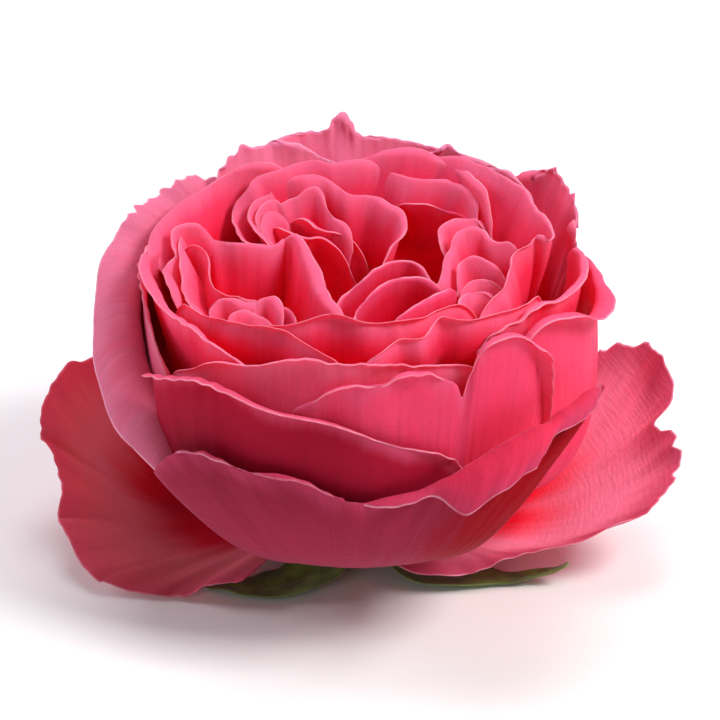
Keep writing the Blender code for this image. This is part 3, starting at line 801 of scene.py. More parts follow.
@dataclass
class Fold:
    """A petal of the crowded middle, hung from its rim of x, y and z in mm."""

    rim: Knots
    centre: tuple[float, float] = (0, 2)    # what the foot is drawn towards
    draw: Amounts = 0.62    # the foot's share of the rim's distance from the centre
    foot: float = 34        # height of the foot
    lean: Amounts = 38      # angle of the sheet below its rim, in degrees outwards from upright
    belly: float = 0.12     # how far the sheet swells outwards above its foot
    roll: Amounts = 0.7
    curl: Amounts = 70
    shoulder: float = 4     # length in mm over which the rim's ends round off
    drop: float = 0.15      # share of the height lost at the very ends
    frill: float = 0.1
    flute: float = 0.45
    tooth: float = 0.08
    crease: float = 0.06
    density: float = 1.9    # columns to a millimetre, kept between the least and the most
    columns: tuple[int, int] = (24, 110)
    up: int = 22
    hem: int = 5
    crowd: float = 1.2      # how much the rows crowd towards the rim

    def sheet(self, seed: int) -> Sheet:
        """The fold's middle surface.

        Each column is a cubic curve with an even handle at either end: it leaves its
        foot upwards and a little outwards, and reaches its rim along the lean.  Near
        the fold's two ends the columns stop short, so that its corners are round.

        Args:
            seed: Draws the ruffles.

        Returns:
            The sheet.
        """
        knots = np.asarray(self.rim, float)
        size = np.linalg.norm(np.diff(knots, axis=0), axis=1).sum()
        columns = int(np.clip(size * self.density, *self.columns))
        s = np.linspace(0, 1, columns + 1)
        rim = spline(knots, s)
        hub = np.array([*self.centre, 0.0])
        foot = hub + (rim - hub) * along_edge(self.draw, s)[:, None]
        foot[:, 2] = self.foot
        out = rim - hub
        out[:, 2] = 0
        out = unit(out)
        rise = np.linalg.norm(rim - foot, axis=1, keepdims=True)
        lean = np.radians(along_edge(self.lean, s))[:, None]
        upright = np.array([0, 0, 1.0])
        low = foot + rise * (self.belly * out + upright / 3)
        high = rim - rise / 3 * (np.sin(lean) * out + np.cos(lean) * upright)
        from_end = np.minimum(s, 1 - s) * size
        stop = 1 - self.drop * (1 - np.clip(from_end / self.shoulder, 0, 1)) ** 2
        t = (1 - (1 - np.linspace(0, 1, self.up + 1)) ** self.crowd)[:, None] * stop
        t = t[..., None]
        grid = ((1 - t) ** 3 * foot + 3 * (1 - t) ** 2 * t * low
                + 3 * (1 - t) * t ** 2 * high + t ** 3 * rim)
        width = along_edge(self.roll, s) * np.clip(from_end / self.shoulder, 0.2, 1)
        grid = hemmed(grid, out, width, along_edge(self.curl, s), self.hem)
        sheet = Sheet(grid, out)
        sheet.ruffle(seed, along_edge(self.frill, s), along_edge(self.flute, s),
                     along_edge(self.tooth, s), self.crease)
        return sheet


class Rosette:
    """The crowded middle: groups of folds that stand on a small core."""

    CORE: Knots = ((0, 10.6), (6.6, 10.6), (7.4, 19), (10, 20.8), (20, 22.4), (25, 26.5), (26, 31),
                   (23, 35), (14, 37.5), (0, 38.5))

    def __init__(self, groups: dict[str, tuple[Fold, ...]], finish: PetalFinish,
                 others: dict[str, PetalFinish]) -> None:
        """Takes the folds by group.

        Args:
            groups: The folds of each piece by the piece's name.
            finish: The finish of most of them.
            others: The finishes of the other pieces by name.
        """
        self.groups = groups
        self.finish = finish
        self.others = others

    def build(self) -> None:
        """Makes a piece for each group; the first one also holds the core."""
        usual = self.finish.material()
        seed = 100
        for number, (name, folds) in enumerate(self.groups.items()):
            shell = Shell()
            if number == 0:
                add_turned(shell, self.CORE, 64)
            for fold in folds:
                seed += 10
                fold.sheet(seed).close(shell, PETAL_THICKNESS)
            skin = self.others[name].material() if name in self.others else usual
            place_on(shell.object(name, skin), "rosette")


MAP_RADIUS = 6.0            # radius in mm at which a turned solid's map is unrolled
FAR_IN = 2.0                # its edge number, as deep in the bloom
NEAR_SIDE = 0.2             # its number along a petal's width


def add_turned(shell: Shell, profile: Knots, columns: int, cut_radius: float = 0.0) -> None:
    """Adds a solid of revolution whose profile starts and ends on the axis.

    The point at i along and j round is at the profile's radius i, turned by j parts
    of a full turn, at the profile's height i; fans of triangles close the two poles.

    Args:
        shell: The shell that takes it.
        profile: Radius and height pairs from the lower pole to the upper one.
        columns: Points round the axis.
        cut_radius: The lower face is marked as cut within this radius.
    """
    rows = np.asarray(profile, float)[1:-1]
    turn = np.linspace(0, 2 * np.pi, columns, endpoint=False)
    wall = around(turn, rows[:, :1], rows[:, 1:])
    points = np.concatenate([wall.reshape(-1, 3), [(0, 0, profile[0][1]), (0, 0, profile[-1][1])]])
    grid = np.arange(len(rows) * columns).reshape(len(rows), columns)
    after = np.roll(grid, -1, axis=1)
    low, high = len(points) - 2, len(points) - 1
    faces = [quads(grid[:-1], after[:-1], after[1:], grid[1:]), quads(after[0], grid[0], low, low),
             quads(grid[-1], after[-1], high, high)]
    x, y, z = points.T
    cut = (np.hypot(x, y) <= cut_radius) & (z <= profile[0][1] + 0.01)
    shell.add(points, np.concatenate(faces), np.stack([np.arctan2(y, x) * MAP_RADIUS, z], -1),
              {"edge": FAR_IN, "along": NEAR_SIDE, "cut": cut})


@dataclass
class Sepal:
    """A green blade: its middle line in mm and its half-widths along it."""

    line: Knots
    widths: tuple[float, ...]
    dish: float = 0.12      # lift of the edges as a share of the half-width
    rib: float = 0.35       # height of the middle rib in mm

    def sheet(self) -> Sheet:
        """The blade's middle surface.

        Across the blade, at u from -1 to 1, it rises as u squared by the dish and
        sinks along the middle as a narrow bell, which shows as a rib underneath.

        Returns:
            The sheet.
        """
        s = np.linspace(0, 1, 61)
        u = np.linspace(-1, 1, 17)
        middle = spline(self.line, s)
        half = along_edge(self.widths, s)[:, None]
        half = half * (1 + 0.07 * Ripple(7, 0.16).at(s)[:, None])
        beside = unit(np.cross(np.gradient(middle, axis=0), (0, 0, 1)))
        grid = middle[:, None] + (half * u)[:, :, None] * beside[:, None]
        grid[:, :, 2] += self.dish * half * u**2 - self.rib * np.exp(-(u / 0.12) ** 2)
        grid[:, :, 2] += 0.25 * Ripple(11, 0.3).at(s)[:, None] * u**2
        return Sheet(grid, np.broadcast_to((0.0, 0.0, -1.0), (len(u), 3)))


@dataclass
class Calyx:
    """The hip, cut flush, and its sepals."""

    finish: LeafFinish
    sepals: tuple[Sepal, ...]
    hip: Knots = ((0, 0), (5.5, 0), (7, 2.2), (7.6, 4.6), (7.2, 6.6), (7.1, 9.4), (6.4, 10.3), (0, 10.3))
    seat: float = 5.5       # radius of the flat cut

    def profile(self) -> Knots:
        """The hip's profile with its belly rounded.

        Returns:
            Radius and height pairs.
        """
        belly = spline(self.hip[1:-1], np.linspace(0, 1, 25))
        flat = [(r, 0.0) for r in np.linspace(0, self.seat, 7)[:-1]]
        return (*flat, *map(tuple, belly), self.hip[-1])

    def build(self) -> None:
        """Makes the piece, which stands for the calyx solid."""
        shell = Shell()
        add_turned(shell, self.profile(), 72, self.seat)
        for sepal in self.sepals:
            sepal.sheet().close(shell, SEPAL_THICKNESS)
        place_on(shell.object("calyx_skin", self.finish.material()), "calyx")


@dataclass(frozen=True)
class Lamp:
    """A square lamp: its place and side in metres and its power in watts."""

    name: str
    place: Place
    side: float
    power: float
    colour: Colour


@dataclass
class Studio:
    """A plain pale floor, soft lights and the camera; lengths in metres."""

    floor_half: float = 3.0
    eye: Place = (0.0005, -0.6181, 0.3654)
    aim: Place = (0.0005, 0.0, 0.0368)
    lens: float = 199.5
    world_light: float = 0.16
    lamps: tuple[Lamp, ...] = (
        Lamp("key", (0.52, -0.16, 0.64), 0.30, 6.4, (1.0, 0.98, 0.97)),
        Lamp("top", (0.00, 0.28, 0.80), 0.45, 3.4, (1.0, 0.98, 1.0)),
        Lamp("rim", (-0.72, 0.30, 0.36), 0.40, 3.8, (0.94, 0.90, 1.0)),
        Lamp("fill", (-0.34, -0.62, 0.30), 0.36, 0.7, (1.0, 0.96, 0.95)))

    def build(self) -> None:
        """Sets up everything that isn't the bloom."""
        self.floor()
        for lamp in self.lamps:
            light = bpy.data.lights.new(lamp.name, "AREA")
            light.size, light.energy, light.color = lamp.side, lamp.power, lamp.colour
            self.aimed(light, lamp.place)
        scene = bpy.context.scene
        scene.world = bpy.data.worlds.new("studio")
        scene.world.use_nodes = True
        sky = scene.world.node_tree.nodes["Background"].inputs
        sky["Color"].default_value = (1, 1, 1, 1)
        sky["Strength"].default_value = self.world_light
        scene.view_settings.view_transform = "Standard"
        scene.cycles.diffuse_bounces = 8
        camera = bpy.data.cameras.new("camera")
        camera.lens = self.lens
        scene.camera = self.aimed(camera, self.eye)

    def floor(self) -> None:
        """A square at height 0."""
        half = self.floor_half
        mesh = bpy.data.meshes.new("floor")
        mesh.from_pydata([(-half, -half, 0), (half, -half, 0), (half, half, 0), (-half, half, 0)], [],
                         [(0, 1, 2, 3)])
        s = Shader("pale_floor")
        mesh.materials.append(s.shown(s.node("ShaderNodeBsdfPrincipled",
                                             {"Base Color": (0.9, 0.9, 0.9), "Roughness": 0.8})))
        floor = bpy.data.objects.new("floor", mesh)
        bpy.context.scene.collection.objects.link(floor)

    def aimed(self, data: bpy.types.ID, place: Place) -> bpy.types.Object:
        """Stands a lamp or the camera at a place, turned to the bloom.

        Args:
            data: The lamp or camera.
            place: Where it stands.

        Returns:
            The object that holds it.
        """
        obj = bpy.data.objects.new(data.name, data)
        obj.location = place
        way = np.asarray(self.aim) - np.asarray(obj.location)
        obj.rotation_euler = Vector(way).to_track_quat("-Z", "Y").to_euler()
        bpy.context.scene.collection.objects.link(obj)
        return obj


ROSE = PetalFinish("rose_skin", blade=(0.96, 0.065, 0.18), heart=(0.88, 0.003, 0.032), glow=0.4,
    lip=(0.96, 0.27, 0.51), back=(0.93, 0.04, 0.13), fade=(3.5, 14))
# Darker copy of the rose colour for the folds deep in the middle: painted shade.
DEEP_SHADED = PetalFinish("deep_shaded_skin", blade=(0.8, 0.03, 0.1), heart=(0.74, 0.0015, 0.022), glow=0.3,
    lip=(0.88, 0.13, 0.31), back=(0.8, 0.035, 0.11), lip_width=4, fade=(1.5, 9))
BACK = PetalFinish("back_skin", blade=(0.96, 0.26, 0.48), heart=(0.9, 0.012, 0.06), glow=0.3,
    lip=(0.96, 0.37, 0.62), back=(0.88, 0.14, 0.28), lip_width=11, fade=(8, 26))
CORAL = PetalFinish("coral_skin", blade=(0.95, 0.08, 0.21), heart=(0.88, 0.003, 0.034),
    lip=(0.88, 0.17, 0.36), back=(0.95, 0.085, 0.21), fade=(4, 20))
SIDE = PetalFinish("side_skin", blade=(0.96, 0.15, 0.32), heart=(0.92, 0.003, 0.03),
    lip=(0.96, 0.3, 0.52), back=(0.92, 0.14, 0.28), lip_width=9, fade=(7, 22))
INNER = PetalFinish("inner_skin", blade=(0.96, 0.1, 0.24), heart=(0.9, 0.003, 0.034), glow=0.4,
    lip=(0.96, 0.28, 0.5), back=(0.96, 0.12, 0.27), fade=(4, 18))
GUARD_CORAL = PetalFinish("guard_coral_skin", blade=(0.98, 0.27, 0.44), heart=(0.93, 0.006, 0.03),
    lip=(0.48, 0.035, 0.11), back=(0.86, 0.1, 0.19), veins=0.12, lip_width=11, glow=0.26, fade=(16, 36),
    wrinkles=2.2)
# Darker copy of the rose colour for the front middle petal: painted shade.
DUSK_SHADED = PetalFinish("dusk_shaded_skin", blade=(0.5, 0.009, 0.042), heart=(0.26, 0.0004, 0.007),
    lip=(0.8, 0.14, 0.29), back=(0.32, 0.009, 0.042), veins=0.12, back_share=0.3, lip_width=4.5,
    sheen=0.18, glow=0.3, fade=(4, 22))
# The low front petal's outer face turns to the painted shade colour past 0.54 of its width.
LOW = PetalFinish("low_skin", blade=(0.76, 0.038, 0.105), heart=(0.6, 0.002, 0.016),
    lip=(0.62, 0.065, 0.16), back=(0.35, 0.024, 0.062), back_share=1.0, veins=0.2, wrinkles=1.5,
    sheen=0.18, glow=0.22, painted_shade_from=0.54, fade=(14, 30))
# Duller, darker copy of the rose colour for the left inner petal: painted shade of the bloom's left side.
MAUVE_SHADED = PetalFinish("mauve_shaded_skin", blade=(0.82, 0.12, 0.24), heart=(0.5, 0.002, 0.02),
    lip=(0.9, 0.27, 0.47), line=(0.96, 0.55, 0.72), back=(0.74, 0.12, 0.25), veins=0.1, lip_width=8,
    fade=(5, 18))
# For the left cup: the pale lavender lip is painted light on the crest of its roll, and the dull blade and
# dark heart are painted shade of the left side.
CUP_MAUVE_LIT_AND_SHADED = PetalFinish("cup_mauve_lit_and_shaded_skin", blade=(0.63, 0.09, 0.17), heart=(0.42, 0.002, 0.018),
    lip=(0.8, 0.25, 0.43), line=(0.96, 0.6, 0.76), back=(0.62, 0.12, 0.22), veins=0.14, lip_width=9,
    glow=0.24, fade=(15, 27), wrinkles=0.5)
# Duller copy of the guard colour for the left guard petal: painted shade of the bloom's shadow on it.
GUARD_MAUVE_SHADED = PetalFinish("guard_mauve_shaded_skin", blade=(0.7, 0.135, 0.18), heart=(0.56, 0.002, 0.018),
    lip=(0.6, 0.1, 0.19), line=(0.85, 0.4, 0.55), back=(0.66, 0.11, 0.2), veins=0.12, lip_width=7,
    fade=(12, 25), wrinkles=1.2)
LEAF = LeafFinish("leaf_skin", green=(0.17, 0.25, 0.045), dark=(0.09, 0.13, 0.025),
    edge=(0.26, 0.32, 0.1), cut=(0.45, 0.5, 0.25))

PETALS: tuple[Petal, ...] = (
    Petal("guard_petal_left", finish=GUARD_MAUVE_SHADED, seed=10, fan=0.7, claw=188, reach=30, level=0,
        outline=GUARD, wave=0.4, waves=4, frill=0.25, flute=0.6, tooth=0.2, points=((0.12, 0.04, -1.2),
        (0.33, 0.03, -1.5), (0.52, 0.03, -1.6), (0.7, 0.04, -1)), rim=((149, 48, 23, 0),
        (154.5, 52, 25.5, 0), (159, 55, 26.5, 0), (166, 56, 25.5, 0), (171, 57.2, 22, 0),
        (175, 56.5, 18, 0), (180.5, 53, 15, 0), (184, 52.5, 12.5, 0), (187, 53.5, 10, 0), (193, 52, 7, 0),
        (198.5, 50.5, 4, 0), (203, 47, 2, 0), (208.5, 42, 1.1, 0), (214, 37, 1.6, 0), (220, 33, 3, 0),
        (227, 29, 4.5, 0))),
    Petal("guard_petal_right", finish=GUARD_CORAL, seed=20, fan=0.7, claw=-15, reach=32, level=0,
        outline=GUARD, wave=0.4, waves=4, frill=0.25, flute=(0.3, 0.3, 0.4, 0.8, 0.8), crease=0.07,
        tooth=(0.15, 0.15, 0.25, 0.4, 0.4), rim=((-69, 19, 6, 0), (-60, 22, 5, 0), (-52, 24.5, 4.5, 0),
        (-43, 27.5, 4.5, 0), (-36, 31.5, 6.2, 0), (-28, 37, 9, 0), (-21, 45.6, 11, 0),
        (-14.5, 52.8, 14, 0), (-10, 55.3, 17, 0), (-5.5, 56.8, 20, 0), (-1, 56.6, 22, 0),
        (3.5, 53, 22, 0), (7, 55.4, 25, 0), (12, 57.4, 28, 0), (18, 56.2, 30, 0), (21, 52.5, 30, 0),
        (23, 47.5, 29, 0))),
    Petal("front_low_petal", finish=LOW, seed=30, claw=-88, reach=26, fan=3.6, curl=170, hem=14, wave=0.2,
        frill=(0.1, 0.1, 0.2, 0.4, 0.4), flute=(0.3, 0.3, 0.4, 0.5, 0.5), roll=(0, 0.5, 0.5, 0.5, 0.5,
        0.5, 0.5, 0.5, 0.8, 1.2, 1.6, 2.2, 3.5, 13.5, 14, 15, 13, 6, 6, 2.5, 0.3), rim=((-141, 44, 30, 1),
        (-133, 44, 36.5, 1), (-127, 43.5, 37.5, 1.2), (-114, 43, 36.5, 1.2), (-102, 42.6, 36, 1.2),
        (-92, 42.6, 33, 1.2), (-80, 42.6, 33, 1.2), (-68, 42.6, 36, 1.2), (-57, 43, 39, 1.2),
        (-44, 44.5, 41.5, 1.2), (-34, 45.5, 42.5, 1), (-26, 46.5, 42.5, 1))),
    Petal("back_tip_petal", finish=BACK, flare=4, frill=0.25, flute=0.7, tooth=0.25, seed=40, claw=88,
        roll=0.5, curl=60, rim=((57, 43.2, 49, 1.2), (61, 43.4, 54, 1.2), (66, 43.4, 57, 1.2),
        (76, 43.5, 59, 1.2), (84, 43.5, 59.5, 1.2), (90, 43.5, 60, 1.2), (94, 44.5, 63, 1.2),
        (97.5, 43.6, 61, 1.2), (104, 43.5, 61, 1.2), (112, 43.3, 59.5, 1.2), (120, 43.3, 55, 1.2),
        (125, 43.3, 48, 1.2))),
    Petal("left_cup_petal", finish=CUP_MAUVE_LIT_AND_SHADED, seed=50, claw=174, reach=26, level=2, late=3.5, hem=18,
        waves=4, wave=0.15, frill=(0.5, 0.5, 0.3, 0.05, 0, 0, 0), tooth=(0.6, 0.9, 0.4, 0, 0, 0, 0),
        flute=(0.6, 0.9, 0.9, 0.3, 0, 0, 0), curl=(60, 65, 75, 90, 125, 145, 160, 170, 165), roll=(5, 7,
        9, 10.5, 10.7, 11, 13, 13.5, 7), rim=((118, 38.5, 49, 4), (123, 38.8, 50.5, 4),
        (128.5, 39.3, 51, 3.9), (135, 39.5, 51, 3.6), (144, 39, 50.5, 3.4), (151, 38.4, 49, 3.2),
        (159, 38.1, 48.3, 3.2), (169, 37.9, 47.5, 3.2), (180, 37.8, 46, 3.2), (191, 37.8, 43, 3.2),
        (200, 37.8, 40.5, 3.2), (208, 38, 38, 3.3), (214, 38.2, 35.8, 3.4), (220, 39, 31, 3.5))),
    Petal("front_mid_petal", finish=DUSK_SHADED, seed=60, claw=-106, level=3, wave=0.15,
        roll=(2.8, 2.5, 1.6, 0.8, 0.5), rim=((-147, 41, 45.5, 3.2), (-138, 40.7, 48, 3.4),
        (-130, 40.6, 48.7, 3.4), (-116, 40.5, 48.5, 3.4), (-103, 40.5, 46.5, 3.4), (-92, 40.5, 45, 3.4),
        (-80, 40.5, 42, 3.4), (-70, 40.5, 38.5, 3.4), (-61, 40.4, 34, 3.4))),
    Petal("front_right_petal", finish=CORAL, seed=70, claw=-72, level=4, curl=120, wave=0.15,
        roll=(0.4, 1, 1, 0.4, 2, 3, 2), rim=((-106, 38.4, 47, 5.1), (-100, 38.4, 49.5, 5.1),
        (-93, 38.5, 52, 5.1), (-84, 38.7, 53, 5.1), (-72, 38.7, 53.5, 5.1), (-66, 38.6, 51.5, 5.1),
        (-63, 38.5, 48, 5.1), (-60.5, 39, 52, 5.1), (-58, 39.5, 57, 5), (-50, 40, 58, 4.6),
        (-43, 40.2, 54, 4.2), (-39, 40, 46, 4), (-38, 40, 36, 4))),
    Petal("left_inner_petal", finish=MAUVE_SHADED, late=1.2, flare=1, seed=80, claw=176, reach=22, level=4,
        wave=0.2, roll=(0.6, 1, 1, 0.6), rim=((124, 39, 50, 4.6), (131, 38.8, 53.5, 4.8),
        (138, 38.2, 55.5, 5.2), (147, 37.4, 55.5, 5.6), (156, 37.2, 54.5, 5.8), (168, 37, 54.5, 5.8),
        (180, 37, 54.5, 5.8), (192, 37, 53.5, 5.8), (202, 37.4, 50, 5.8), (211, 37.8, 45, 5.8),
        (215, 38, 40, 5.8))),
    Petal("right_cup_petal", finish=CORAL, seed=90, claw=-10, level=5, curl=110,
        roll=(1.5, 2.5, 4, 4.5, 2, 1, 0.5), rim=((-48, 37, 50, 6.4), (-43, 37.6, 54, 6),
        (-36, 38.3, 56, 5.4), (-28, 39.3, 54.5, 4.2), (-20, 40, 51.5, 3), (-10, 41, 49.3, 2.2),
        (-2, 41.6, 48.8, 2), (5, 41.5, 50, 2), (12, 41.3, 51.2, 2), (18, 41.3, 51, 2),
        (24, 41.8, 49, 1.8), (29, 42.4, 42, 1.5))),
    Petal("back_left_petal", finish=BACK, flare=4, frill=0.25, flute=0.7, tooth=0.25, seed=100, claw=112,
        reach=20, level=5, roll=0.5, curl=60, rim=((92, 38.2, 55, 5.8), (99, 38.2, 58, 5.8),
        (107, 39.2, 60.5, 5.2), (112, 39.8, 61.5, 4.8), (117, 39.8, 61, 4.8), (121, 39.8, 61.7, 4.8),
        (126, 39.6, 60, 4.8), (130, 39.4, 57, 4.8), (134, 39.2, 51, 5))),
    Petal("back_right_petal", finish=SIDE, flare=4, frill=0.25, flute=0.9, tooth=0.25, seed=110, claw=40,
        reach=20, level=6, roll=0.5, curl=60, wave=0.4, waves=4, points=((0.14, 0.05, 1.6),
        (0.27, 0.05, -2), (0.36, 0.06, 1.8), (0.52, 0.05, 1.6), (0.68, 0.1, -1)),
        rim=((19, 40.8, 44, 3.4), (23, 42, 50, 3.2), (26, 43.2, 54, 3), (32, 44.8, 56.5, 2.6),
        (39, 45.3, 59, 2.6), (46, 45, 57, 2.8), (52, 43.8, 55.5, 3), (58, 41.6, 54, 3.4),
        (63, 40.8, 49, 3.7))),
    Petal("front_inner_petal", finish=INNER, flare=-2, seed=120, claw=-98, reach=22, level=6, wave=0.2,
        roll=(0.5, 1, 1, 0.5), rim=((-152, 36.8, 41, 7), (-147, 36.8, 45, 7), (-138, 36.8, 48, 7),
        (-131, 36.6, 50.5, 7), (-118, 36.2, 53, 7), (-106, 36, 54.7, 7), (-94, 36, 55.3, 7),
        (-80, 36, 54.5, 7), (-66, 36, 53.2, 7), (-57, 36, 51, 7), (-51, 36.2, 46, 7))),
    Petal("back_inner_petal", finish=BACK, flare=4, frill=0.25, flute=0.7, tooth=0.25, seed=130, claw=66,
        reach=20, level=7, roll=0.5, curl=60, waves=4, rim=((31, 37, 54, 6.8), (37, 38.2, 57, 6.2),
        (46, 39.5, 59, 5.8), (55, 40, 59, 5.6), (61, 39.8, 59.5, 5.7), (66, 40, 61, 5.6),
        (72, 39.8, 58.5, 5.8), (80, 38.6, 57.5, 6.4), (90, 36.6, 58, 7.6), (100, 35.2, 56.5, 8.6))),
    Petal("right_inner_petal", finish=ROSE, flare=3, seed=140, claw=-14, reach=20, level=7,
        roll=(0.5, 1.5, 2, 1.5, 0.5), rim=((-54, 33.8, 53, 9.4), (-47, 34.8, 56, 8.6),
        (-38, 35.8, 57, 7.6), (-28, 36.8, 57, 6.6), (-16, 38, 56, 5.6), (-6, 38.5, 55, 4.8),
        (4, 39, 54.5, 4.4), (12, 39, 54, 4.4), (17, 38.8, 51, 4.6))),
    Petal("left_small_petal", finish=ROSE, flare=3, seed=150, claw=200, reach=20, level=7, wave=0.2,
        roll=(0.5, 2.2, 2.4, 1.2, 0.6), rim=((160, 35, 49, 8.6), (166, 35.4, 53, 8.6),
        (174, 35.6, 55, 8.6), (184, 35.8, 56, 8.6), (196, 35.6, 55.5, 8.6), (208, 35, 54.5, 8.8),
        (220, 34.6, 53.5, 8.8), (232, 34.5, 52.4, 8.8), (242, 34.4, 49, 8.8))),
)

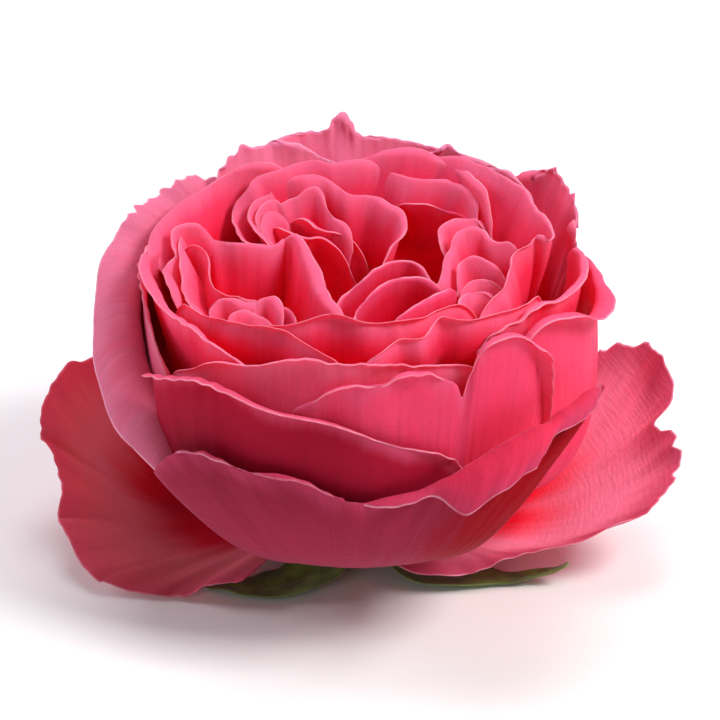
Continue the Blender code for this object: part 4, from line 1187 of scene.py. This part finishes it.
# Folds of the middle, by piece
FOLDS: dict[str, tuple[Fold, ...]] = {
    "rosette_back": (
        # back loop, whose left end curls round the nest
        Fold(centre=(-3, 12), lean=(38, 38, 38, 38, 34, 30, 25), roll=(0.5, 0.6, 0.9, 1.2, 1.2, 1, 0.8),
            rim=((-14.5, 14.5, 50), (-16.5, 15.5, 50.5), (-19, 16.5, 51), (-20.5, 19, 51.5),
            (-21.5, 21.5, 52.5), (-22, 24, 53.5), (-21.5, 26, 54.5), (-20, 27.3, 55.5), (-18.8, 28, 56.5),
            (-18, 29.5, 57.2), (-15.5, 30.5, 58), (-13, 31.5, 58.5), (-10.5, 33.2, 59),
            (-7.5, 33.8, 59.5), (-5, 33, 59), (-1.5, 33.5, 58.5), (3.5, 33.8, 58), (7.5, 31.5, 57.5),
            (12, 30.5, 57), (16.5, 30, 56.5), (19.5, 27.5, 56), (21, 24, 55), (21.5, 20, 53))),
        # right loop
        Fold(lean=(38, 35, 20, 5, 0, 0), roll=(0.8, 1.5, 2, 1.8, 1.2, 0.8), rim=((-3, 36, 57.5),
            (0, 35.6, 58.8), (3.5, 35, 59.6), (7, 34.5, 60), (11.5, 34, 60), (15, 33, 59),
            (17.5, 31, 58.5), (20, 28, 57.5), (22.2, 24.5, 57), (23, 22.5, 54.5), (23.5, 21, 52),
            (24, 18.5, 49.5))),
        # tongue, whose left end turns back round the nest
        Fold(centre=(-4, 17), lean=(25, 35, 42, 42, 35, 20, 5), roll=(0.5, 0.6, 0.8, 1, 1.2, 1, 0.5),
            rim=((-14, 15.5, 50.5), (-16, 17, 51), (-18, 19.5, 52.5), (-19, 22, 53.5),
            (-18.8, 24.5, 54.5), (-17, 27, 55.5), (-15.2, 28.2, 56), (-15, 29.5, 56.3),
            (-13.5, 30.2, 56.5), (-10, 30.5, 57), (-6.5, 31, 57), (-4, 29, 56.5), (-1.5, 27, 56),
            (2.5, 26.5, 55.5), (5, 24.5, 54.5), (7.5, 22, 54), (8, 20, 53), (7.5, 18, 52), (5.5, 16, 51),
            (4.5, 13, 50), (4, 10, 48.5))),
        # spoon, back part
        Fold(centre=(-7, 17), lean=30, rim=((-16, 18, 51.5), (-17.3, 20, 52.5), (-17.5, 22.5, 54.2),
            (-16.5, 24.5, 55), (-14.5, 26, 55), (-13.6, 25.6, 54.4), (-12, 26.6, 55), (-10.5, 27, 55.4),
            (-9, 27.8, 56.2), (-7.8, 28, 56.5), (-6.6, 26.8, 55.8), (-5.6, 24.8, 54.4), (-4.2, 23.4, 53),
            (-2, 22, 51.5), (0, 20.5, 50))),
        # spoon, front part
        Fold(centre=(-4, 34), draw=0.85, lean=20, roll=(0.5, 1, 1.2, 1, 0.6), drop=0.45, shoulder=6,
            rim=((-14.5, 26, 53.5), (-13.2, 25, 53), (-10, 24.5, 52.5), (-8, 23.5, 52),
            (-6.5, 22.5, 51.5), (-4, 22.5, 51), (-2, 22, 50.5), (0, 21.5, 50), (2.5, 20.5, 49))),
        # fold before the spoon
        Fold(centre=(-6, 32), draw=0.85, lean=20, roll=(0.5, 1, 1.2, 1, 0.6), drop=0.45, shoulder=7,
            rim=((-19, 23, 51.5), (-16.5, 22.5, 52.5), (-14, 21.5, 52.5), (-12, 21, 52), (-10, 20, 51.5),
            (-8.5, 19.5, 51), (-6.5, 20, 50.5), (-4.5, 19, 50), (-2, 18, 49.5), (0.5, 17, 48.5))),
        # innermost fold of the nest
        Fold(centre=(-8, 20), rim=((-13.5, 16, 50.5), (-15.5, 18, 51), (-16.5, 20.5, 52.5),
            (-16.2, 22.5, 53.5), (-15, 24.3, 53.8), (-13, 25.5, 53))),
    ),
    "rosette_left": (
        # shoulder that slopes down from the back left
        Fold(centre=(-26, 1), draw=(0.4, 0.4, 0.42, 0.6, 0.9, 1), foot=46, lean=(55, 55, 52, 40, 10, 0),
            belly=0.05, roll=(0.6, 1, 1, 0.6), flute=0.6, up=30, rim=((-36.2, 5, 54), (-35.9, 9.3, 55.3),
            (-34.6, 15, 56), (-32.4, 19.3, 56.5), (-29.9, 22.6, 57), (-27.5, 25, 57.5), (-25.4, 27.8, 58),
            (-23.3, 30.2, 58.2), (-21, 32, 58.3), (-18.5, 33.5, 58), (-15.5, 34.5, 57.5),
            (-12, 35.5, 57))),
        # pocket back
        Fold(centre=(-19, -6), lean=(20, 34, 38, 34, 20), roll=(0.5, 0.8, 1, 0.8, 0.5),
            rim=((-28.5, 17, 55), (-26.8, 14.5, 55), (-26.2, 12.8, 54.5), (-24, 12.5, 54),
            (-21, 11.5, 53.5), (-18, 11.3, 53), (-15, 11, 53), (-13.5, 11.5, 53.5), (-12.5, 13, 54),
            (-11.5, 15, 53))),
        # pocket right, with a wide rolled margin
        Fold(centre=(-21, 0), lean=6, curl=(60, 90, 100, 100, 90), roll=(0.6, 1.5, 2.2, 2.7, 2.5, 2, 1),
            rim=((-14, 13, 53.5), (-12.5, 12.5, 54.6), (-11.5, 11.5, 55), (-10.3, 8, 55), (-9.4, 4, 54),
            (-8.5, 1, 53), (-7.7, -2.7, 52), (-6.1, -6.3, 51), (-3.8, -9.3, 50), (-2, -11, 49),
            (-0.5, -13, 48))),
        # left fold that leans over the pocket
        Fold(centre=(-42, -4), draw=0.72, lean=12, curl=-40, rim=((-30, 10, 54.5), (-29.3, 7.5, 55.3),
            (-28, 6, 55), (-26.5, 3, 54.5), (-25, -1, 53.5), (-23.5, -4.5, 52.5), (-22, -6, 52),
            (-19.5, -6.5, 51.5), (-17, -6, 51), (-14, -6, 50))),
        # left fold behind it
        Fold(lean=24, roll=(0.5, 1, 1.2, 0.8), rim=((-30.5, 16, 55), (-30.5, 11, 55.5),
            (-30.5, 7.5, 55.5), (-30, 3, 55), (-29.5, -2, 54.5), (-29, -6.5, 54), (-28, -10.5, 53.5),
            (-27, -14, 53), (-25.5, -16.5, 52), (-23, -19, 50))),
        # left fold under the rim
        Fold(lean=24, roll=(0.5, 0.8, 1.2, 1.2, 0.8), rim=((-25.5, 15, 55), (-27, 12.8, 56),
            (-28.5, 12.5, 56.5), (-30.5, 12, 56.5), (-31.7, 11, 56.5), (-31.8, 8, 56), (-31.2, 5.5, 55.5),
            (-30.8, 4, 55), (-31.8, 1.5, 55), (-32.5, -1, 54.5), (-31.8, -5, 54), (-30.8, -8.5, 53.5),
            (-29.5, -12, 53), (-28, -15, 52.5), (-26, -18.5, 51))),
        # small folds at the front of the pocket
        Fold(centre=(-21, -22), flute=0.7, rim=((-26.5, -15, 51), (-25, -12.5, 51.8), (-24.6, -10, 52.5),
            (-23.8, -8.6, 53), (-21.5, -9, 52.8), (-19.5, -10.2, 52.2), (-18, -10, 52),
            (-16.5, -8.8, 51.5), (-14, -8.5, 50))),
        Fold(centre=(-13.5, -24), flute=0.5, rim=((-19, -13.5, 51), (-17.6, -12, 52),
            (-17.3, -10.2, 52.8), (-16.2, -9.4, 53.2), (-14.5, -10, 53.5), (-13.3, -12, 53),
            (-12.8, -14, 52.2), (-12.2, -16, 51))),
        Fold(centre=(-19, -28), flute=0.5, rim=((-24, -16.5, 52), (-22.5, -16.5, 52.2), (-21, -14.5, 53),
            (-19, -14, 53), (-17, -14.8, 52.8), (-15, -15.5, 52.5), (-12, -17.5, 51))),
    ),
    "rosette_front": (
        # front fold, left part
        Fold(lean=-28, roll=(0.5, 1.2, 1.5, 1, 0.5), curl=80, rim=((-31, -11, 53), (-29.5, -14, 54.2),
            (-27.5, -17.5, 54.5), (-25, -19, 54.5), (-23, -19.5, 54.5), (-19.5, -21.5, 55),
            (-16.5, -23, 55), (-14, -24.5, 55), (-11, -26.8, 55), (-8.5, -29, 54.6), (-5, -31.6, 54),
            (0, -33.8, 53))),
        # front fold, middle part
        Fold(lean=-32, roll=(0.5, 1.2, 1.5, 1.5, 1.2, 0.8), curl=80, rim=((-20, -17.5, 51),
            (-17, -20.5, 53), (-14.5, -22.5, 54.5), (-12.5, -24, 55.6), (-10.5, -25, 56.4),
            (-8, -25.5, 57), (-3.5, -25.5, 57.5), (0.5, -26.5, 57.5), (4.5, -26, 57), (7, -26, 57),
            (10.5, -24.5, 57), (13, -22, 57.5), (15.5, -20.5, 57.5), (18, -19.5, 57), (20, -18, 56))),
        # front fold, right part
        Fold(lean=-28, roll=(0.5, 1, 1.5, 1.5, 1), curl=80, rim=((-1, -34.5, 54.5), (4, -34, 56),
            (7, -31.5, 56.5), (10.5, -31, 57), (12, -29, 57.5), (14, -27, 58), (17, -27, 58),
            (20.5, -25.5, 58), (24, -24, 57.5), (27.5, -20.5, 57), (30, -16.5, 56.5), (31.5, -12, 55.5))),
    ),
    "rosette_right": (
        # right wall, which flares at the back and leans over the small folds at the front
        Fold(lean=(38, 38, 34, 20, -5, -25, -32, -35), draw=(0.62, 0.62, 0.66, 0.78, 0.95, 1.0, 1.0),
            rim=((9, 36.5, 58), (14, 35, 59.3), (18.5, 32.8, 60), (21, 31, 60), (23.5, 29.5, 60),
            (25.5, 27.5, 59.5), (27.5, 25, 59), (29.5, 23.5, 58.5), (30.5, 21, 57.5), (31.5, 17.5, 57),
            (33, 14, 57), (33.7, 12, 56.5), (34, 10, 56), (33, 8.5, 56), (31, 9, 56), (30, 7, 55.5),
            (28, 5, 55.5), (26.7, 2.5, 55.5), (26.5, -1.5, 55.5), (26, -5, 55.5), (24.5, -11.5, 56),
            (22.5, -16, 56), (21, -19, 56), (18.5, -21.5, 56))),
        # first of five small folds, from back to front
        Fold(centre=(26, 8), lean=25, rim=((24, 21.5, 53), (21.5, 21.8, 54), (18.8, 20.5, 53.8),
            (16, 18.5, 53.5), (15, 17, 53), (15, 15, 52.5), (15.5, 13, 51.5), (16.5, 9, 50.5))),
        # second
        Fold(centre=(26, -4), lean=30, roll=(0.8, 1.4, 1.8, 1.6, 1, 0.8, 0.6), rim=((11, 1, 47),
            (12.5, 2, 48.5), (15, 2.5, 49.5), (16, 4.5, 50.5), (16.5, 7.5, 52), (17.5, 10.5, 53),
            (18, 12.5, 54), (19, 14, 54.5), (20.5, 14.5, 55), (22, 14, 54.5), (23, 12.2, 54),
            (25, 11, 54), (27.5, 10.2, 55), (29.3, 9.4, 55.3))),
        # third
        Fold(centre=(25, -10), lean=34, rim=((16.8, 1, 50), (17.8, 4, 51.5), (18.5, 6.3, 52.5),
            (20, 6.5, 53.5), (21.5, 6, 53.5), (23, 5.2, 53), (24.5, 4.5, 52.8), (26.3, 3.8, 53))),
        # fourth
        Fold(centre=(25, -16), lean=34, rim=((17.3, -4, 50), (18.5, -1.5, 51), (20, -0.2, 52),
            (21.5, 0, 52.5), (24, -0.3, 53), (25.8, -0.2, 53.2))),
        # fifth
        Fold(centre=(24, -22), lean=34, rim=((17.8, -18, 52), (18, -14, 52.8), (18.2, -9.5, 53),
            (19.5, -7, 53.5), (21, -6.2, 53.5), (23, -6.5, 54), (24.6, -7, 54))),
    ),
    "rosette_middle": (
        # swirl, back fold
        Fold(centre=(9, -12), draw=1.0, lean=-8, roll=(0.4, 0.5, 0.6, 0.5, 0.4), rim=((-4.5, -3, 47.5),
            (-3, -0.5, 48.5), (-1.2, 1.9, 49), (1.4, 4.8, 50), (3.6, 7.4, 50.5), (6.1, 9.4, 50.8),
            (9.2, 10.5, 50.5), (11, 9.5, 50), (12.5, 6.7, 49), (14.5, 3.5, 48))),
        # swirl, middle fold
        Fold(centre=(8, -18), draw=0.95, lean=-4, roll=(0.4, 0.5, 0.7, 0.6, 0.4), rim=((-1.5, -15, 50),
            (-0.5, -12, 50.5), (1, -7.5, 51), (3, -4.5, 52), (5.5, -2, 52.5), (9, -0.8, 52.8),
            (11, -0.8, 52.6), (13, -1.6, 52), (15, -2, 51), (17.5, -2, 49.5))),
        # swirl, front fold
        Fold(centre=(16, -26), draw=0.88, lean=4, roll=(0.5, 0.7, 0.9, 0.6), rim=((4.5, -17.5, 52.5),
            (7.5, -15, 53), (9.5, -13.4, 53.5), (11.8, -11, 53.5), (14.4, -7.8, 53), (16.5, -3.4, 52),
            (18, 0, 51))),
        # wall over the deep hollow, which leans forward
        Fold(centre=(12, 46), draw=0.7, lean=28, roll=0.4, rim=((6.5, 26, 53.5), (8, 24.5, 54.8),
            (10, 23, 55.7), (12.5, 22.3, 56.2), (15.5, 21.8, 56), (18, 22.2, 55.5), (20.5, 23, 54.5))),
        # small folds low in the middle, behind the front folds
        Fold(centre=(-4, -22), lean=24, rim=((-9, -9, 44.5), (-6.5, -6.5, 45.8), (-3, -6.5, 46.2),
            (0.5, -8, 46.2), (3.5, -11, 46), (4.5, -14.5, 45.5), (4, -18, 44.5))),
        Fold(centre=(-2, -20), lean=20, rim=((-15, -9, 46.5), (-12.5, -12, 47.5), (-10.5, -15, 48),
            (-8, -16.5, 48), (-5.5, -19.5, 48), (-1.5, -20.5, 47.5), (1, -19, 46.5))),
        Fold(centre=(4, -8), lean=26, rim=((-2.5, -18.5, 46.5), (0.5, -20.5, 48), (5, -21, 48.5),
            (8, -19, 48.5), (11.5, -19, 48), (14, -17.5, 47))),
        Fold(centre=(-2, -14), lean=22, rim=((-7.5, -11.5, 45), (-4, -10.5, 46), (-1.5, -12, 46),
            (-0.5, -14.5, 45.5), (-2.5, -17, 45))),
        Fold(centre=(-18, -4), lean=28, rim=((-20, -3.5, 46.5), (-17.5, -1.5, 47.5), (-15, -2.5, 48),
            (-12.5, -2, 47.5), (-11, -4.5, 46.5), (-11.5, -8, 45.5))),
    ),
}

SEPALS: tuple[Sepal, ...] = (
    Sepal(line=((-2.2, -4.8, 6), (-5, -11, 3.6), (-11, -16, 1.2), (-19, -17.3, 0.75), (-24, -16.8, 0.8),
        (-28, -15.5, 1)), widths=(2.6, 4.6, 5.2, 4, 2.4, 0.7)),
    Sepal(line=((2.6, -4.8, 6), (7, -10.5, 3.6), (14, -14, 1.2), (22, -13.8, 0.8), (29, -14.5, 1),
        (34.5, -15.2, 3), (37, -15.8, 4.6)), widths=(2.6, 4, 4.4, 3.6, 2.2, 1.2, 0.6)),
    Sepal(line=((5, 1.8, 6), (12, 4, 3.6), (19, 6, 1.2), (26, 8.5, 0.8), (31, 10, 1.8)),
        widths=(2.6, 4.4, 4.4, 2.8, 0.7)),
    Sepal(line=((0, 5.2, 6), (0.5, 12, 3.6), (1, 19, 1.2), (1, 26, 0.8), (1.5, 32, 2.4)),
        widths=(2.6, 4.4, 4.6, 3, 0.7)),
    Sepal(line=((-5, 2.2, 6), (-11.5, 5, 3.6), (-18, 7.5, 1.2), (-25, 10, 0.8), (-30, 12, 1.6)),
        widths=(2.6, 4.4, 4.4, 2.8, 0.7)),
)


def main() -> None:
    """Builds the bloom around its frame, then the studio."""
    logging.basicConfig(level=logging.INFO, format="%(name)s %(message)s")
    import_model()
    for petal in PETALS:
        petal.build()
    Rosette(FOLDS, ROSE, {"rosette_middle": DEEP_SHADED}).build()
    Calyx(LEAF, SEPALS).build()
    Studio().build()


if __name__ == "__main__":
    main()
